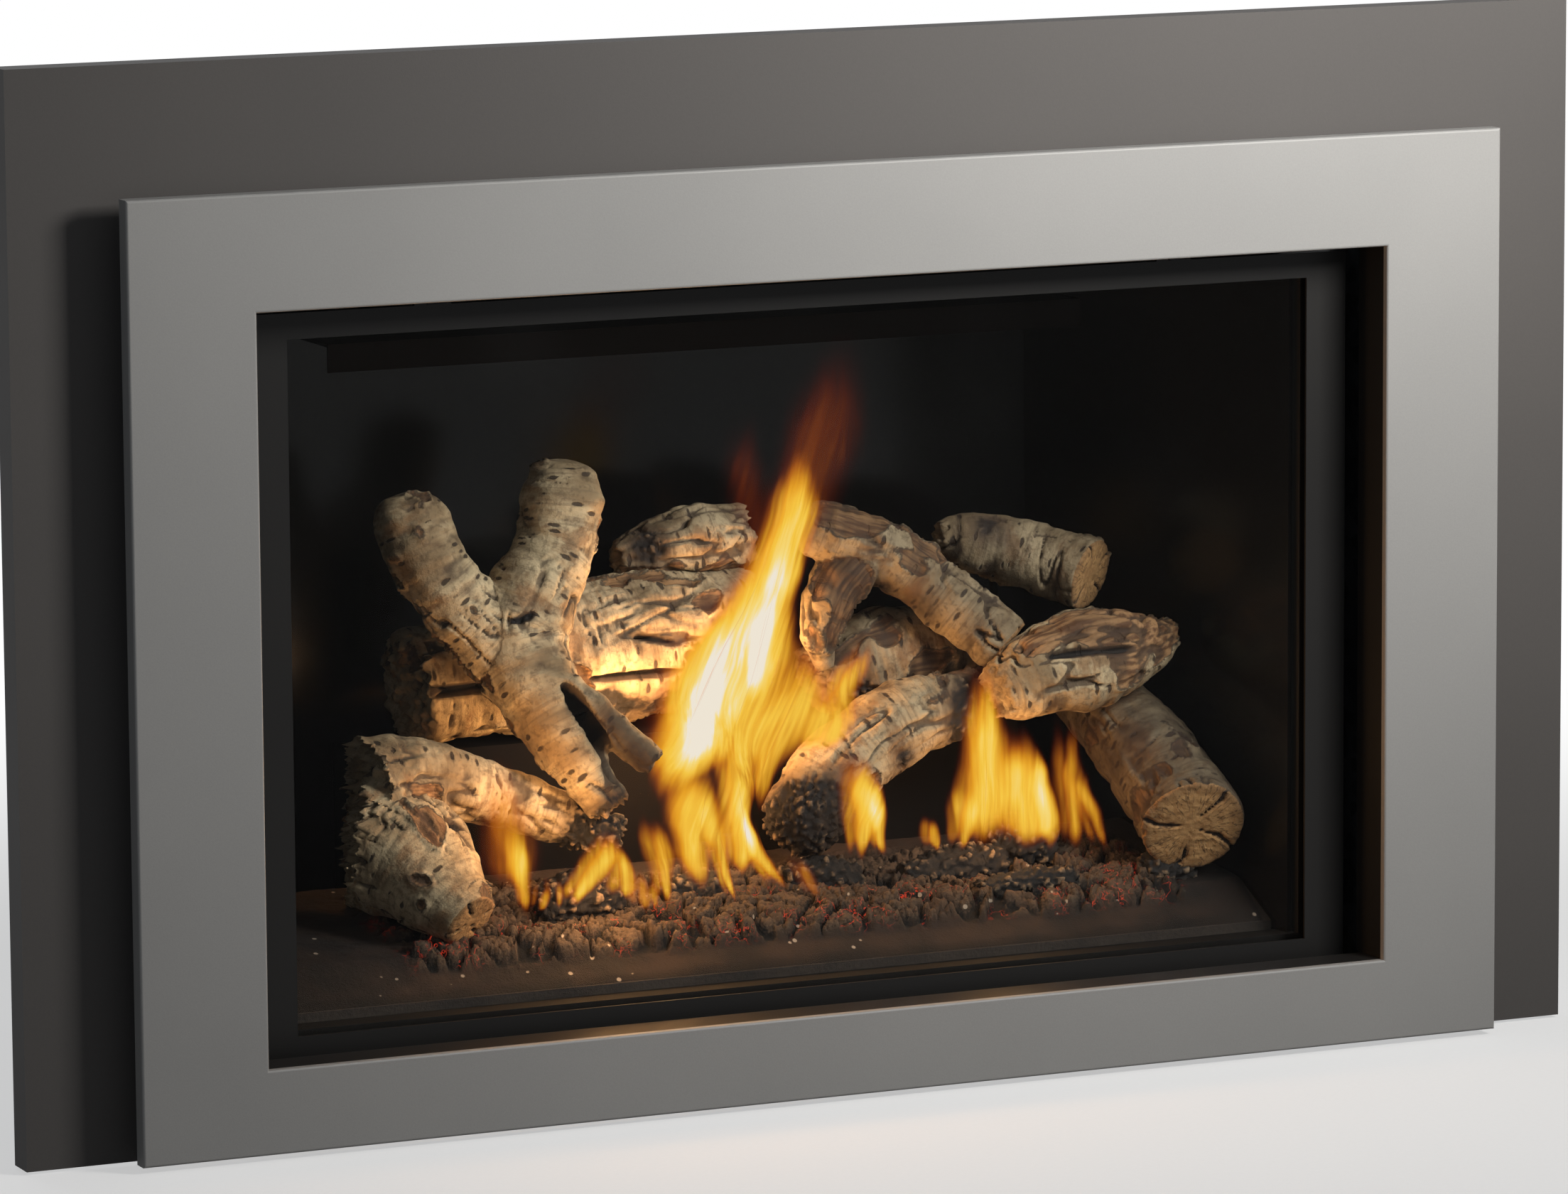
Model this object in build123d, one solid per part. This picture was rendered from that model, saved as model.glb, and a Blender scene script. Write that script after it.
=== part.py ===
from build123d import *
import os
from math import cos, hypot, pi, sin

# Gas fireplace insert with a picture-frame face, a stepped-back surround panel, a tilting glass door
# and a birch log set. Millimetres. X runs to the right as the viewer faces the fire, +Y runs back into
# the wall, +Z is up. The origin is the centre of the outer box on the hearth. A "depth" is measured
# back from the front of the face.

# ---- driving dimensions --------------------------------------------------------------------------
FACE_WIDTH = 927.0
FACE_BOTTOM, FACE_TOP = 4.0, 589.0
STILE, TOP_RAIL, BOTTOM_RAIL = 81.5, 71.5, 52.5
FACE_GAUGE, FACE_RETURN, EDGE_ROUND = 2.5, 12.0, 1.6

SURROUND_WIDTH, SURROUND_BOTTOM, SURROUND_TOP = 1055.0, 2.0, 667.0
SURROUND_DEPTH, SURROUND_RETURN, SURROUND_GAUGE = 30.0, 22.0, 2.0
SURROUND_CUT_HALF, SURROUND_CUT_TOP = 406.0, 583.0

OVERALL_DEPTH = 400.0
CASE_HALF, CASE_REAR_HALF = 400.0, 330.0
CASE_FRONT, CASE_SHOULDER = 36.0, 210.0
CASE_BOTTOM, CASE_TOP = 12.0, 590.0
CASE_GAUGE = 1.5

BOX_FRONT, BOX_REAR = 64.0, 354.0            # inside of the firebox, by depth
BOX_FRONT_HALF, BOX_REAR_HALF = 352.0, 300.0
BOX_FLOOR, BOX_CEILING = 66.0, 505.0
BOX_GAUGE = 2.0
LINER_GAP, LINER_GAUGE = 2.0, 3.0

DOOR_HALF, DOOR_BOTTOM, DOOR_TOP = 375.0, 44.0, 511.0
DOOR_FRONT, DOOR_GAUGE = 43.0, 2.0
SIGHT_HALF, SIGHT_BOTTOM, SIGHT_TOP = 347.0, 66.0, 495.0
GLASS_THICK, GLASS_FRONT = 4.0, 47.0
DOOR_AXIS_DEPTH, DOOR_AXIS_Z = 47.0, 40.0    # the pin line under the door's bottom rail

LATCH_X, LATCH_AXIS_DEPTH, LATCH_AXIS_Z = 252.0, 80.0, 526.0

EXHAUST_X, EXHAUST_R = 70.0, 50.8            # 4 in collar
INTAKE_X, INTAKE_R = -75.0, 38.1             # 3 in collar
FLUE_DEPTH, FLUE_TOP, PIPE_GAUGE = 280.0, 640.0, 1.5
COLLAR_STEP = 1.2                            # the collars are this much fatter up to the casing top

BED_FRONT, BED_BROW, BED_REAR = 80.0, 112.0, 245.0
BED_FRONT_Z, BED_BROW_Z, BED_REAR_Z = 72.0, 94.0, 113.0
LEDGE_FRONT, LEDGE_REAR, LEDGE_TOP = 246.0, 302.0, 198.0

PIN_R, RUNNING_GAP, BODY_GAP = 3.0, 0.05, 0.3

BLOWER_DEPTH, BLOWER_Z, BLOWER_HALF = 322.0, 38.0, 140.0
WHEEL_R, WHEEL_HUB_R, BLADES = 17.5, 12.5, 20

VALVE_X, CONTROLS_Z, PANEL_DEPTH = 245.0, 38.0, 92.0
VALVE_FRONT, VALVE_REAR = 110.0, 160.0
INLET_DEPTH, FEED_R = 142.0, 7.0
PIEZO_X, DIAL_X, ROCKER_X = 318.0, -300.0, -250.0
ROCKER_TILT, NUB_R = 8.0, 1.2
SOCKET_DEPTH, SOCKET_Z = 176.0, 42.0

SLOT_DEPTH, BURNER_DEPTH, BURNER_Z = 128.0, 190.0, 80.0
MIXER_R, RISER_HOLE_R, ORIFICE_X = 9.0, 11.0, 120.0
PILOT_X, PILOT_DEPTH = 20.0, 222.0

HANGER_X, HANGER_Z = 432.0, 480.0
ANCHOR_X, ANCHOR_DEPTHS, ANCHOR_R = 330.0, (150.0, 300.0), 3.5
FOOT_PLACES = {"front_left": (-345, 100), "front_right": (345, 100),
               "rear_left": (-280, 360), "rear_right": (280, 360)}

SIDES = 12                                   # corners round a log
SMALLEST_LUMP = 500.0                        # mm3 of charcoal left beside a log worth keeping

OPEN_HALF = FACE_WIDTH / 2 - STILE
OPEN_BOTTOM, OPEN_TOP = FACE_BOTTOM + BOTTOM_RAIL, FACE_TOP - TOP_RAIL
INSIDE_Z = CASE_BOTTOM + 2                   # top of the base plate

PARTS = {}


# ---- shape helpers -------------------------------------------------------------------------------
def y_at(depth):
    return depth - OVERALL_DEPTH / 2


def block(x0, x1, d0, d1, z0, z1):
    """A box between two X, two depth and two height limits."""
    centre = Pos((x0 + x1) / 2, y_at((d0 + d1) / 2), (z0 + z1) / 2)
    return centre * Box(abs(x1 - x0), abs(d1 - d0), abs(z1 - z0))


def across(half, d0, d1, z0, z1):
    return block(-half, half, d0, d1, z0, z1)


def plan_prism(points, z0, z1):
    """A prism standing on a plan drawn as (x, depth) points."""
    plan = Polygon(*[(x, y_at(d)) for x, d in points], align=None)
    return extrude(Pos(0, 0, z0) * plan, amount=z1 - z0, dir=(0, 0, 1))


def side_prism(points, x0, x1):
    """A prism along X from a side profile drawn as (depth, z) points."""
    plane = Plane(origin=(x0, 0, 0), x_dir=(0, 1, 0), z_dir=(1, 0, 0))
    profile = plane * Polygon(*[(y_at(d), z) for d, z in points], align=None)
    return extrude(profile, amount=x1 - x0, dir=(1, 0, 0))


def rod(start, end, radius, inner=0.0):
    """A round bar or tube between two (x, depth, z) points."""
    a, b = (Vector(p[0], y_at(p[1]), p[2]) for p in (start, end))
    plane = Plane(origin=a, z_dir=b - a)
    length = (b - a).length
    bar = plane * Cylinder(radius, length, align=(Align.CENTER, Align.CENTER, Align.MIN))
    if inner:
        bar -= plane * Cylinder(inner, length, align=(Align.CENTER, Align.CENTER, Align.MIN))
    return bar


def cone(start, end, r_start, r_end):
    a, b = (Vector(p[0], y_at(p[1]), p[2]) for p in (start, end))
    shape = Cone(r_start, r_end, (b - a).length, align=(Align.CENTER, Align.CENTER, Align.MIN))
    return Plane(origin=a, z_dir=b - a) * shape


def hexagon(centre, across_flats, height, bore):
    """A hex nut standing on a (x, depth, z) point."""
    nut = extrude(RegularPolygon(across_flats / 2, 6, major_radius=False), amount=height)
    nut -= Cylinder(bore, height, align=(Align.CENTER, Align.CENTER, Align.MIN))
    return Pos(centre[0], y_at(centre[1]), centre[2]) * nut


def mirrored(shape):
    return shape.mirror(Plane.YZ)


def biggest(shape):
    return max(shape.solids(), key=lambda s: s.volume)


def keep(node, *pieces):
    """Hold a node's solids for writing."""
    solids = [s for p in pieces for s in p.solids()]
    PARTS[node] = solids[0] if len(solids) == 1 else Compound(children=solids)


def wall_plan(line, inward):
    """The plan of a bent sheet: (x, depth) points along its left side, and the same line moved inward."""
    def moved(i):
        """The point where the two neighbouring edges meet once each has moved inward."""
        near = [line[j:j + 2] for j in (i - 1, i) if 0 <= j < len(line) - 1]
        normals = []
        for (x0, d0), (x1, d1) in near:
            run = hypot(x1 - x0, d1 - d0)
            normals.append(((d1 - d0) / run, -(x1 - x0) / run))
        nx, nd = (sum(n[k] for n in normals) for k in (0, 1))
        scale = inward * len(normals) / (nx * nx + nd * nd)
        return line[i][0] + nx * scale, line[i][1] + nd * scale
    return list(line) + [moved(i) for i in reversed(range(len(line)))]


def box_half(depth):
    """Half the firebox's inside width at a depth."""
    t = (depth - BOX_FRONT) / (BOX_REAR - BOX_FRONT)
    return BOX_FRONT_HALF + t * (BOX_REAR_HALF - BOX_FRONT_HALF)


def box_outside(depth):
    """Half the firebox's outside width at a depth."""
    t = (depth - BOX_FRONT) / (BOX_REAR + BOX_GAUGE - BOX_FRONT)
    return BOX_GAUGE + BOX_FRONT_HALF + t * (BOX_REAR_HALF - BOX_FRONT_HALF)


# ---- face, collar and surround -------------------------------------------------------------------
def face_frame():
    half = FACE_WIDTH / 2
    body = across(half, 0, FACE_RETURN, FACE_BOTTOM, FACE_TOP)
    g = FACE_GAUGE
    tray = across(half - g, g, FACE_RETURN, FACE_BOTTOM + g, FACE_TOP - g)
    rim = across(OPEN_HALF + g, g, 2 * g, OPEN_BOTTOM - g, OPEN_TOP + g)
    opening = across(OPEN_HALF, -1, FACE_RETURN + 1, OPEN_BOTTOM, OPEN_TOP)
    body = body - (tray - rim) - opening
    front = body.faces().sort_by(Axis.Y)[0]
    hook = face_hook()
    return fillet(front.edges(), EDGE_ROUND) + hook + mirrored(hook)


def face_collar():
    """Black trim behind the face's opening: deep at the sides, shallow under the latches."""
    gauge, sides, rails = 1.5, 38.0, 30.0
    z0, z1 = OPEN_BOTTOM - gauge, OPEN_TOP + gauge
    d0 = 2 * FACE_GAUGE
    tube = across(OPEN_HALF + gauge, d0, rails, z0, z1)
    tube -= across(OPEN_HALF, d0 - 1, rails + 1, OPEN_BOTTOM, OPEN_TOP)
    cheek = block(-OPEN_HALF - gauge, -OPEN_HALF, rails, sides, OPEN_BOTTOM, OPEN_TOP)
    ear = collar_ear(gauge)
    return tube + cheek + mirrored(cheek) + ear + mirrored(ear)


def collar_ear(gauge):
    """Flange along the collar's left side, stepped over the opening's rim and welded behind the face."""
    rim, reach, step = OPEN_HALF + FACE_GAUGE, 16.0, 8.0
    z0, z1 = 90.0, OPEN_TOP - 30
    ear = block(-rim - reach, -rim, FACE_GAUGE, FACE_GAUGE + gauge, z0, z1)
    ear += block(-rim - gauge, -rim, FACE_GAUGE, step, z0, z1)
    return ear + block(-rim - gauge, -OPEN_HALF - gauge, 2 * FACE_GAUGE, step, z0, z1)


def face_hook():
    """Hook welded behind the right stile: a tab reaching back and a lip turned down into the hanger."""
    hook = block(HANGER_X - 10, HANGER_X + 10, FACE_GAUGE, 24, HANGER_Z + BODY_GAP, HANGER_Z + 3)
    hook += block(HANGER_X - 10, HANGER_X + 10, 21.5, 24, HANGER_Z - 10, HANGER_Z + 3)
    hook += block(HANGER_X - 10, HANGER_X + 10, FACE_GAUGE, 5, HANGER_Z - 14, HANGER_Z + 16)
    return hook


def face_hanger():
    """Cup bracket on the surround's right side that the face hook drops into."""
    cup = block(HANGER_X - 13, HANGER_X + 13, 27.5, SURROUND_DEPTH, HANGER_Z - 42, HANGER_Z + 2)
    cup += block(HANGER_X - 13, HANGER_X + 13, 17.5, 27.5, HANGER_Z - 15, HANGER_Z - 12.5)
    cup += block(HANGER_X - 13, HANGER_X + 13, 17.5, 20, HANGER_Z - 15, HANGER_Z)
    return cup


def surround_panel():
    half, front, gauge = SURROUND_WIDTH / 2, SURROUND_DEPTH, SURROUND_GAUGE
    rear = front + SURROUND_RETURN
    body = across(half, front, rear, SURROUND_BOTTOM, SURROUND_TOP)
    body -= across(half - gauge, front + gauge, rear + 1, SURROUND_BOTTOM - 1, SURROUND_TOP - gauge)
    body -= across(SURROUND_CUT_HALF, front - 1, rear + 1, SURROUND_BOTTOM - 1, SURROUND_CUT_TOP)
    hanger = face_hanger()
    return body + hanger + mirrored(hanger)


# ---- convection casing ---------------------------------------------------------------------------
def casing_side():
    """Left side panel: bent at the shoulder, louvred, with angle clips out to the surround's back."""
    line = [(-CASE_HALF, CASE_FRONT), (-CASE_HALF, CASE_SHOULDER),
            (-CASE_REAR_HALF, OVERALL_DEPTH - CASE_GAUGE)]
    side = plan_prism(wall_plan(line, CASE_GAUGE), INSIDE_Z, CASE_TOP - CASE_GAUGE)
    for z in (430, 470, 510):
        side -= block(-CASE_HALF - 5, -CASE_HALF + 5, 110, 180, z, z + 12)
    rear = SURROUND_DEPTH + SURROUND_GAUGE
    for z in (90, 300, 520):
        side += block(-CASE_HALF - 2, -CASE_HALF, rear, 74, z, z + 30)
        side += block(-CASE_HALF - 26, -CASE_HALF - 2, rear, rear + 2, z, z + 30)
    return side


def case_plan():
    return [(-CASE_HALF, CASE_FRONT), (-CASE_HALF, CASE_SHOULDER), (-CASE_REAR_HALF, OVERALL_DEPTH),
            (CASE_REAR_HALF, OVERALL_DEPTH), (CASE_HALF, CASE_SHOULDER), (CASE_HALF, CASE_FRONT)]


def casing_base():
    """Base plate with four weld nuts for the levelling feet and four anchor holes."""
    plate = plan_prism(case_plan(), CASE_BOTTOM, INSIDE_Z)
    for x, depth in FOOT_PLACES.values():
        plate -= rod((x, depth, 0), (x, depth, 30), 5)
    for x in (-ANCHOR_X, ANCHOR_X):
        for depth in ANCHOR_DEPTHS:
            plate -= rod((x, depth, 0), (x, depth, 30), ANCHOR_R)
    for x, depth in FOOT_PLACES.values():
        plate += hexagon((x, depth, CASE_BOTTOM - 5), 13, 5, 4 + RUNNING_GAP)
    return plate


def casing_top():
    plate = plan_prism(case_plan(), CASE_TOP - CASE_GAUGE, CASE_TOP)
    plate += across(CASE_HALF - CASE_GAUGE, CASE_FRONT, CASE_FRONT + CASE_GAUGE, CASE_TOP - 12, CASE_TOP)
    for x, radius in ((EXHAUST_X, EXHAUST_R), (INTAKE_X, INTAKE_R)):
        plate -= rod((x, FLUE_DEPTH, CASE_TOP - 5), (x, FLUE_DEPTH, CASE_TOP + 5), radius + COLLAR_STEP)
    return plate


def casing_back():
    z1 = CASE_TOP - CASE_GAUGE
    return across(CASE_REAR_HALF - CASE_GAUGE, OVERALL_DEPTH - CASE_GAUGE, OVERALL_DEPTH, INSIDE_Z, z1)


def levelling_foot(x, depth):
    """A hex-collared bolt with a round pad, turned in the casing's nut to level the unit."""
    foot = rod((x, depth, 0), (x, depth, 4), 12)
    foot += cone((x, depth, 4), (x, depth, 6), 7, 4)
    foot += rod((x, depth, 4), (x, depth, 42), 4)
    return foot


# ---- firebox -------------------------------------------------------------------------------------
def firebox():
    """Welded box with tapered sides, a flange at its mouth, and holes for the flues and the gas riser."""
    g = BOX_GAUGE
    outer = [(-BOX_FRONT_HALF - g, BOX_FRONT), (-BOX_REAR_HALF - g, BOX_REAR + g),
             (BOX_REAR_HALF + g, BOX_REAR + g), (BOX_FRONT_HALF + g, BOX_FRONT)]
    mouth = box_half(BOX_FRONT - g)
    inner = [(-mouth, BOX_FRONT - g), (-BOX_REAR_HALF, BOX_REAR), (BOX_REAR_HALF, BOX_REAR),
             (mouth, BOX_FRONT - g)]
    shell = plan_prism(outer, BOX_FLOOR - g, BOX_CEILING + g)
    shell += across(DOOR_HALF + 4, BOX_FRONT - g, BOX_FRONT, DOOR_BOTTOM + 2, BOX_CEILING + 4)
    shell -= plan_prism(inner, BOX_FLOOR, BOX_CEILING)
    shell -= rod((0, BURNER_DEPTH, 50), (0, BURNER_DEPTH, 80), RISER_HOLE_R)
    for x, radius in ((EXHAUST_X, EXHAUST_R), (INTAKE_X, INTAKE_R)):
        shell -= rod((x, FLUE_DEPTH, 490), (x, FLUE_DEPTH, 520), radius - PIPE_GAUGE)
    return shell


def liner_side():
    """Glossy black side panel standing a little inside the firebox wall."""
    d0, d1 = BOX_FRONT + 3, BOX_REAR - 4.5
    line = [(-box_half(d0) + LINER_GAP, d0), (-box_half(d1) + LINER_GAP, d1)]
    return plan_prism(wall_plan(line, LINER_GAUGE), BOX_FLOOR, BOX_CEILING - 2)


def liner_back():
    return across(BOX_REAR_HALF - 1.5, BOX_REAR - 4, BOX_REAR - 1, BOX_FLOOR, BOX_CEILING - 2)


def baffle_plate():
    """Deflector under the flue outlet, with a turned-down front edge."""
    d0, d1 = 196.0, BOX_REAR - 4.0
    return across(262, d0, d1, 468, 470) + across(262, d0, d0 + 2, 452, 470)


def firebox_legs():
    """Four angle legs between the casing base and the firebox floor."""
    legs = []
    for x in (-180, 180):
        for depth in (100, 262):
            leg = block(x - 15, x + 15, depth, depth + 2, INSIDE_Z, BOX_FLOOR - BOX_GAUGE)
            leg += block(x - 15, x + 15, depth, depth + 22, INSIDE_Z, INSIDE_Z + 2)
            legs.append(leg)
    return legs


def firebox_standoffs():
    """Straps that space the firebox walls from the casing so that room air can rise between them."""
    straps = []
    d0, d1, x_out = 130.0, 132.0, -CASE_HALF + CASE_GAUGE
    plan = [(x_out, d0), (-box_outside(d0), d0), (-box_outside(d1), d1), (x_out, d1)]
    for z in (160, 400):
        strap = plan_prism(plan, z, z + 24) + block(x_out, x_out + 2, d0, d0 + 20, z, z + 24)
        straps += [strap, mirrored(strap)]
    return straps


def flue_collar(x, radius):
    """Spigot with a riveted flange, standing on the firebox top and passing through the casing top."""
    foot, bore = BOX_CEILING + BOX_GAUGE, radius - PIPE_GAUGE
    pipe = rod((x, FLUE_DEPTH, foot), (x, FLUE_DEPTH, FLUE_TOP), radius, bore)
    pipe += rod((x, FLUE_DEPTH, foot), (x, FLUE_DEPTH, CASE_TOP), radius + COLLAR_STEP, bore)
    return pipe + rod((x, FLUE_DEPTH, foot), (x, FLUE_DEPTH, foot + 2), radius + 12, bore)


# ---- glass door ----------------------------------------------------------------------------------
def door_frame():
    g, rear = DOOR_GAUGE, 59.0
    frame = across(DOOR_HALF, DOOR_FRONT, rear, DOOR_BOTTOM, DOOR_TOP)
    frame -= across(DOOR_HALF - g, DOOR_FRONT + g, rear + 1, DOOR_BOTTOM + g, DOOR_TOP - g)
    frame -= across(SIGHT_HALF, DOOR_FRONT - 1, rear, SIGHT_BOTTOM, SIGHT_TOP)
    for sign in (-1, 1):
        x0 = sign * LATCH_X
        frame += block(x0 - 12, x0 + 12, DOOR_FRONT, DOOR_FRONT + 3, DOOR_TOP, DOOR_TOP + 3)
        ear_x = sign * 346.5
        ear = block(ear_x - 1.5, ear_x + 1.5, DOOR_FRONT, DOOR_FRONT + 8, DOOR_AXIS_Z, DOOR_BOTTOM + 1)
        ear += pivot_line(ear_x - 1.5, ear_x + 1.5, 6)
        frame += ear - pivot_line(ear_x - 2, ear_x + 2, PIN_R + RUNNING_GAP)
    return frame


def pivot_line(x0, x1, radius):
    """A round bar on the door's pin line."""
    return rod((x0, DOOR_AXIS_DEPTH, DOOR_AXIS_Z), (x1, DOOR_AXIS_DEPTH, DOOR_AXIS_Z), radius)


def glass_tape():
    """Flat woven tape between the frame and the glass."""
    ring = across(369, DOOR_FRONT + DOOR_GAUGE, GLASS_FRONT, 50, 506)
    return ring - across(352, 40, 60, 62, 498)


def glass_pane():
    return across(369, GLASS_FRONT, GLASS_FRONT + GLASS_THICK, 50, 506)


def rope_gasket():
    """Rope seal behind the glass edge, pressed towards the firebox flange."""
    d0, d1 = GLASS_FRONT + GLASS_THICK, BOX_FRONT - BOX_GAUGE - BODY_GAP
    path_half, z0, z1, wide = 361.0, 56.0, 500.0, 9.0
    ring = across(path_half + wide / 2, d0, d1, z0 - wide / 2, z1 + wide / 2)
    hole = across(path_half - wide / 2, d0 - 1, d1 + 1, z0 + wide / 2, z1 - wide / 2)
    ring = fillet(ring.edges().filter_by(Axis.Y), 8)
    ring -= fillet(hole.edges().filter_by(Axis.Y), 4)
    rear = ring.faces().sort_by(Axis.Y)[-1]
    return fillet(rear.edges(), 3)


def glass_clips():
    """Spring clips screwed inside the frame that hold the glass by its edge."""
    clips = []
    d = GLASS_FRONT + GLASS_THICK
    for z in (130, 280, 430):
        clip = block(-373, -366, d, d + 1.2, z, z + 22) + block(-373, -371.8, d, 58, z, z + 22)
        clips += [clip, mirrored(clip)]
    return clips


def door_hinge_brackets():
    """Angle brackets on the casing base, each with the pin that the door's ear turns on."""
    bracket = block(350, 352.5, 44, 60, INSIDE_Z, DOOR_BOTTOM - 0.8)
    bracket += block(350, 372, 44, 60, INSIDE_Z, INSIDE_Z + 2.5)
    bracket += pivot_line(343, 352.5, PIN_R)
    return bracket, mirrored(bracket)


# ---- latches -------------------------------------------------------------------------------------
def latch_lever(sign):
    """Hooked lever whose nose drops in front of the door's keeper."""
    d, z = LATCH_AXIS_DEPTH, LATCH_AXIS_Z
    nose, reach = d - 44, 6.0
    profile = [(nose, 512), (nose + 3, 512), (nose + 3, 519), (d, z - 6.5), (d, z + 6.5), (nose + 12, z),
               (nose + 2.5, z), (nose + 2.5, 538), (nose, 538)]
    x0 = sign * LATCH_X
    lever = side_prism(profile, x0 - reach, x0 + reach) + rod((x0 - reach, d, z), (x0 + reach, d, z), 7)
    return lever - rod((x0 - reach - 1, d, z), (x0 + reach + 1, d, z), PIN_R + RUNNING_GAP)


def latch_brackets():
    """U brackets on the firebox top, each with its latch pin and a leaf spring behind the hub."""
    made = []
    top, d, z = BOX_CEILING + BOX_GAUGE, LATCH_AXIS_DEPTH, LATCH_AXIS_Z
    for sign in (-1, 1):
        x0 = sign * LATCH_X
        clip = block(x0 - 10, x0 + 10, 70, 104, top, top + 2)
        for side in (-1, 1):
            x1 = x0 + side * 9
            clip += block(x1 - 1, x1 + 1, 72, 88, top, 535)
        clip += rod((x0 - 10, d, z), (x0 + 10, d, z), PIN_R)
        leaf = block(x0 - 4, x0 + 4, 87.5, 102, top + 2, top + 3)
        leaf += block(x0 - 4, x0 + 4, 87.5, 88.5, top + 2, 531)
        made += [clip, leaf]
    return made


# ---- burner, gas train and pilot -----------------------------------------------------------------
def bed_height(depth):
    """Height of the bed's top surface at a depth."""
    if depth < BED_BROW:
        climb = (BED_BROW_Z - BED_FRONT_Z) / (BED_BROW - BED_FRONT)
        return BED_FRONT_Z + (depth - BED_FRONT) * climb
    climb = (BED_REAR_Z - BED_BROW_Z) / (BED_REAR - BED_BROW)
    return BED_BROW_Z + (depth - BED_BROW) * climb


def bed_plan():
    """The bed's outline between the side liners, as (x, depth) points."""
    left = [(-box_half(d) + 7, d) for d in (BED_FRONT, BED_REAR)]
    return left + [(-x, d) for x, d in reversed(left)]


def burner_base():
    """Hollow moulded bed that carries the logs: a sloping brow, a rising deck and rows of flame slots."""
    outer = [(BED_FRONT, BOX_FLOOR), (BED_FRONT, BED_FRONT_Z), (BED_BROW, BED_BROW_Z),
             (BED_REAR, BED_REAR_Z), (BED_REAR, BOX_FLOOR)]
    skin = 6.0
    inner = [(BED_FRONT + skin + 12, BOX_FLOOR), (BED_BROW + 2, BED_BROW_Z - skin),
             (BED_REAR - skin, BED_REAR_Z - skin), (BED_REAR - skin, BOX_FLOOR)]
    body = side_prism(outer, -360, 360) & plan_prism(bed_plan(), 0, 200)
    body -= side_prism(inner, -300, 300)
    for i in range(9):
        x = -200 + 50 * i
        body -= block(x - 15, x + 15, SLOT_DEPTH - 2, SLOT_DEPTH + 2, 80, 130)
    return biggest(body)


def burner_tube():
    """Tube burner under the bed, fed at its middle by a mixing tube that bends up through the floor."""
    tube = rod((-230, BURNER_DEPTH, BURNER_Z), (230, BURNER_DEPTH, BURNER_Z), 12, 10.5)
    tube += rod((-230, BURNER_DEPTH, BURNER_Z), (-228, BURNER_DEPTH, BURNER_Z), 12)
    tube += rod((228, BURNER_DEPTH, BURNER_Z), (230, BURNER_DEPTH, BURNER_Z), 12)
    for i in range(10):
        x = -207 + 46 * i
        tube -= block(x - 12, x + 12, BURNER_DEPTH - 1.5, BURNER_DEPTH + 1.5, BURNER_Z + 5, BURNER_Z + 15)
    foot = block(-8, 8, BURNER_DEPTH - 8, BURNER_DEPTH + 8, BOX_FLOOR, BURNER_Z - 11.5)
    z, y = CONTROLS_Z, y_at(BURNER_DEPTH)
    line = FilletPolyline((0, y, BURNER_Z - 9), (0, y, z), (ORIFICE_X, y, z), radius=18)
    section = Plane(origin=line @ 0, z_dir=line % 0)
    way = MIXER_R - 1.5
    riser = sweep(section * Circle(MIXER_R), path=line) - sweep(section * Circle(way), path=line)
    under = BOX_FLOOR - BOX_GAUGE
    flange = rod((0, BURNER_DEPTH, under - 2), (0, BURNER_DEPTH, under), 16, MIXER_R - 1)
    bore = rod((0, BURNER_DEPTH, BURNER_Z - 20), (0, BURNER_DEPTH, BURNER_Z), way)
    return tube - bore + (riser + flange) + Pos(-150, 0, 0) * foot + Pos(150, 0, 0) * foot


def air_shutter():
    """Sleeve that turns on the mixing tube to set the primary air, with its lever and window."""
    x0, x1, z = 92.0, 114.0, CONTROLS_Z
    sleeve = rod((x0, BURNER_DEPTH, z), (x1, BURNER_DEPTH, z), 11, MIXER_R + RUNNING_GAP)
    sleeve -= block(x0 + 6, x1 - 6, BURNER_DEPTH + 4, BURNER_DEPTH + 14, z - 5, z + 5)
    lever = block(x0 + 2, x0 + 5, BURNER_DEPTH - 26, BURNER_DEPTH - 10.2, z - 3, z + 3)
    return sleeve + lever


def manifold_pipe():
    """Tube from the valve's outlet to the orifice holder that closes the mixing tube's end."""
    z, x0 = CONTROLS_Z, ORIFICE_X
    line = FilletPolyline((x0 + 26, y_at(BURNER_DEPTH), z), (VALVE_X, y_at(BURNER_DEPTH), z),
                          (VALVE_X, y_at(VALVE_REAR + 8), z), radius=16)
    pipe = sweep(Plane(origin=line @ 0, z_dir=line % 0) * Circle(4), path=line)
    pipe += rod((x0, BURNER_DEPTH, z), (x0 + 12, BURNER_DEPTH, z), MIXER_R)
    return pipe + rod((x0 + 12, BURNER_DEPTH, z), (x0 + 27, BURNER_DEPTH, z), 6)


def gas_valve():
    """Cast valve body with its regulator tower, knob spindle holes and feet."""
    x, z = VALVE_X, CONTROLS_Z
    body = block(x - 42, x + 42, VALVE_FRONT, VALVE_REAR, z - 16, z + 16)
    body = fillet(body.edges().filter_by(Axis.Y), 5)
    body += rod((x, VALVE_REAR, z), (x, VALVE_REAR + 8, z), 8)
    body += rod((x - 22, 138, z + 16), (x - 22, 138, z + 22), 11)
    body += rod((x + 42, INLET_DEPTH, z), (x + 50, INLET_DEPTH, z), 9)
    for side in (-1, 1):
        body += block(x + side * 30 - 6, x + side * 30 + 6, 118, 152, INSIDE_Z, z - 15)
        body += rod((x + side * 20, VALVE_FRONT - 10, z), (x + side * 20, VALVE_FRONT + 1, z), 7)
        body -= rod((x + side * 20, VALVE_FRONT - 11, z), (x + side * 20, VALVE_FRONT + 16, z),
                    PIN_R + RUNNING_GAP)
    return body


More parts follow.
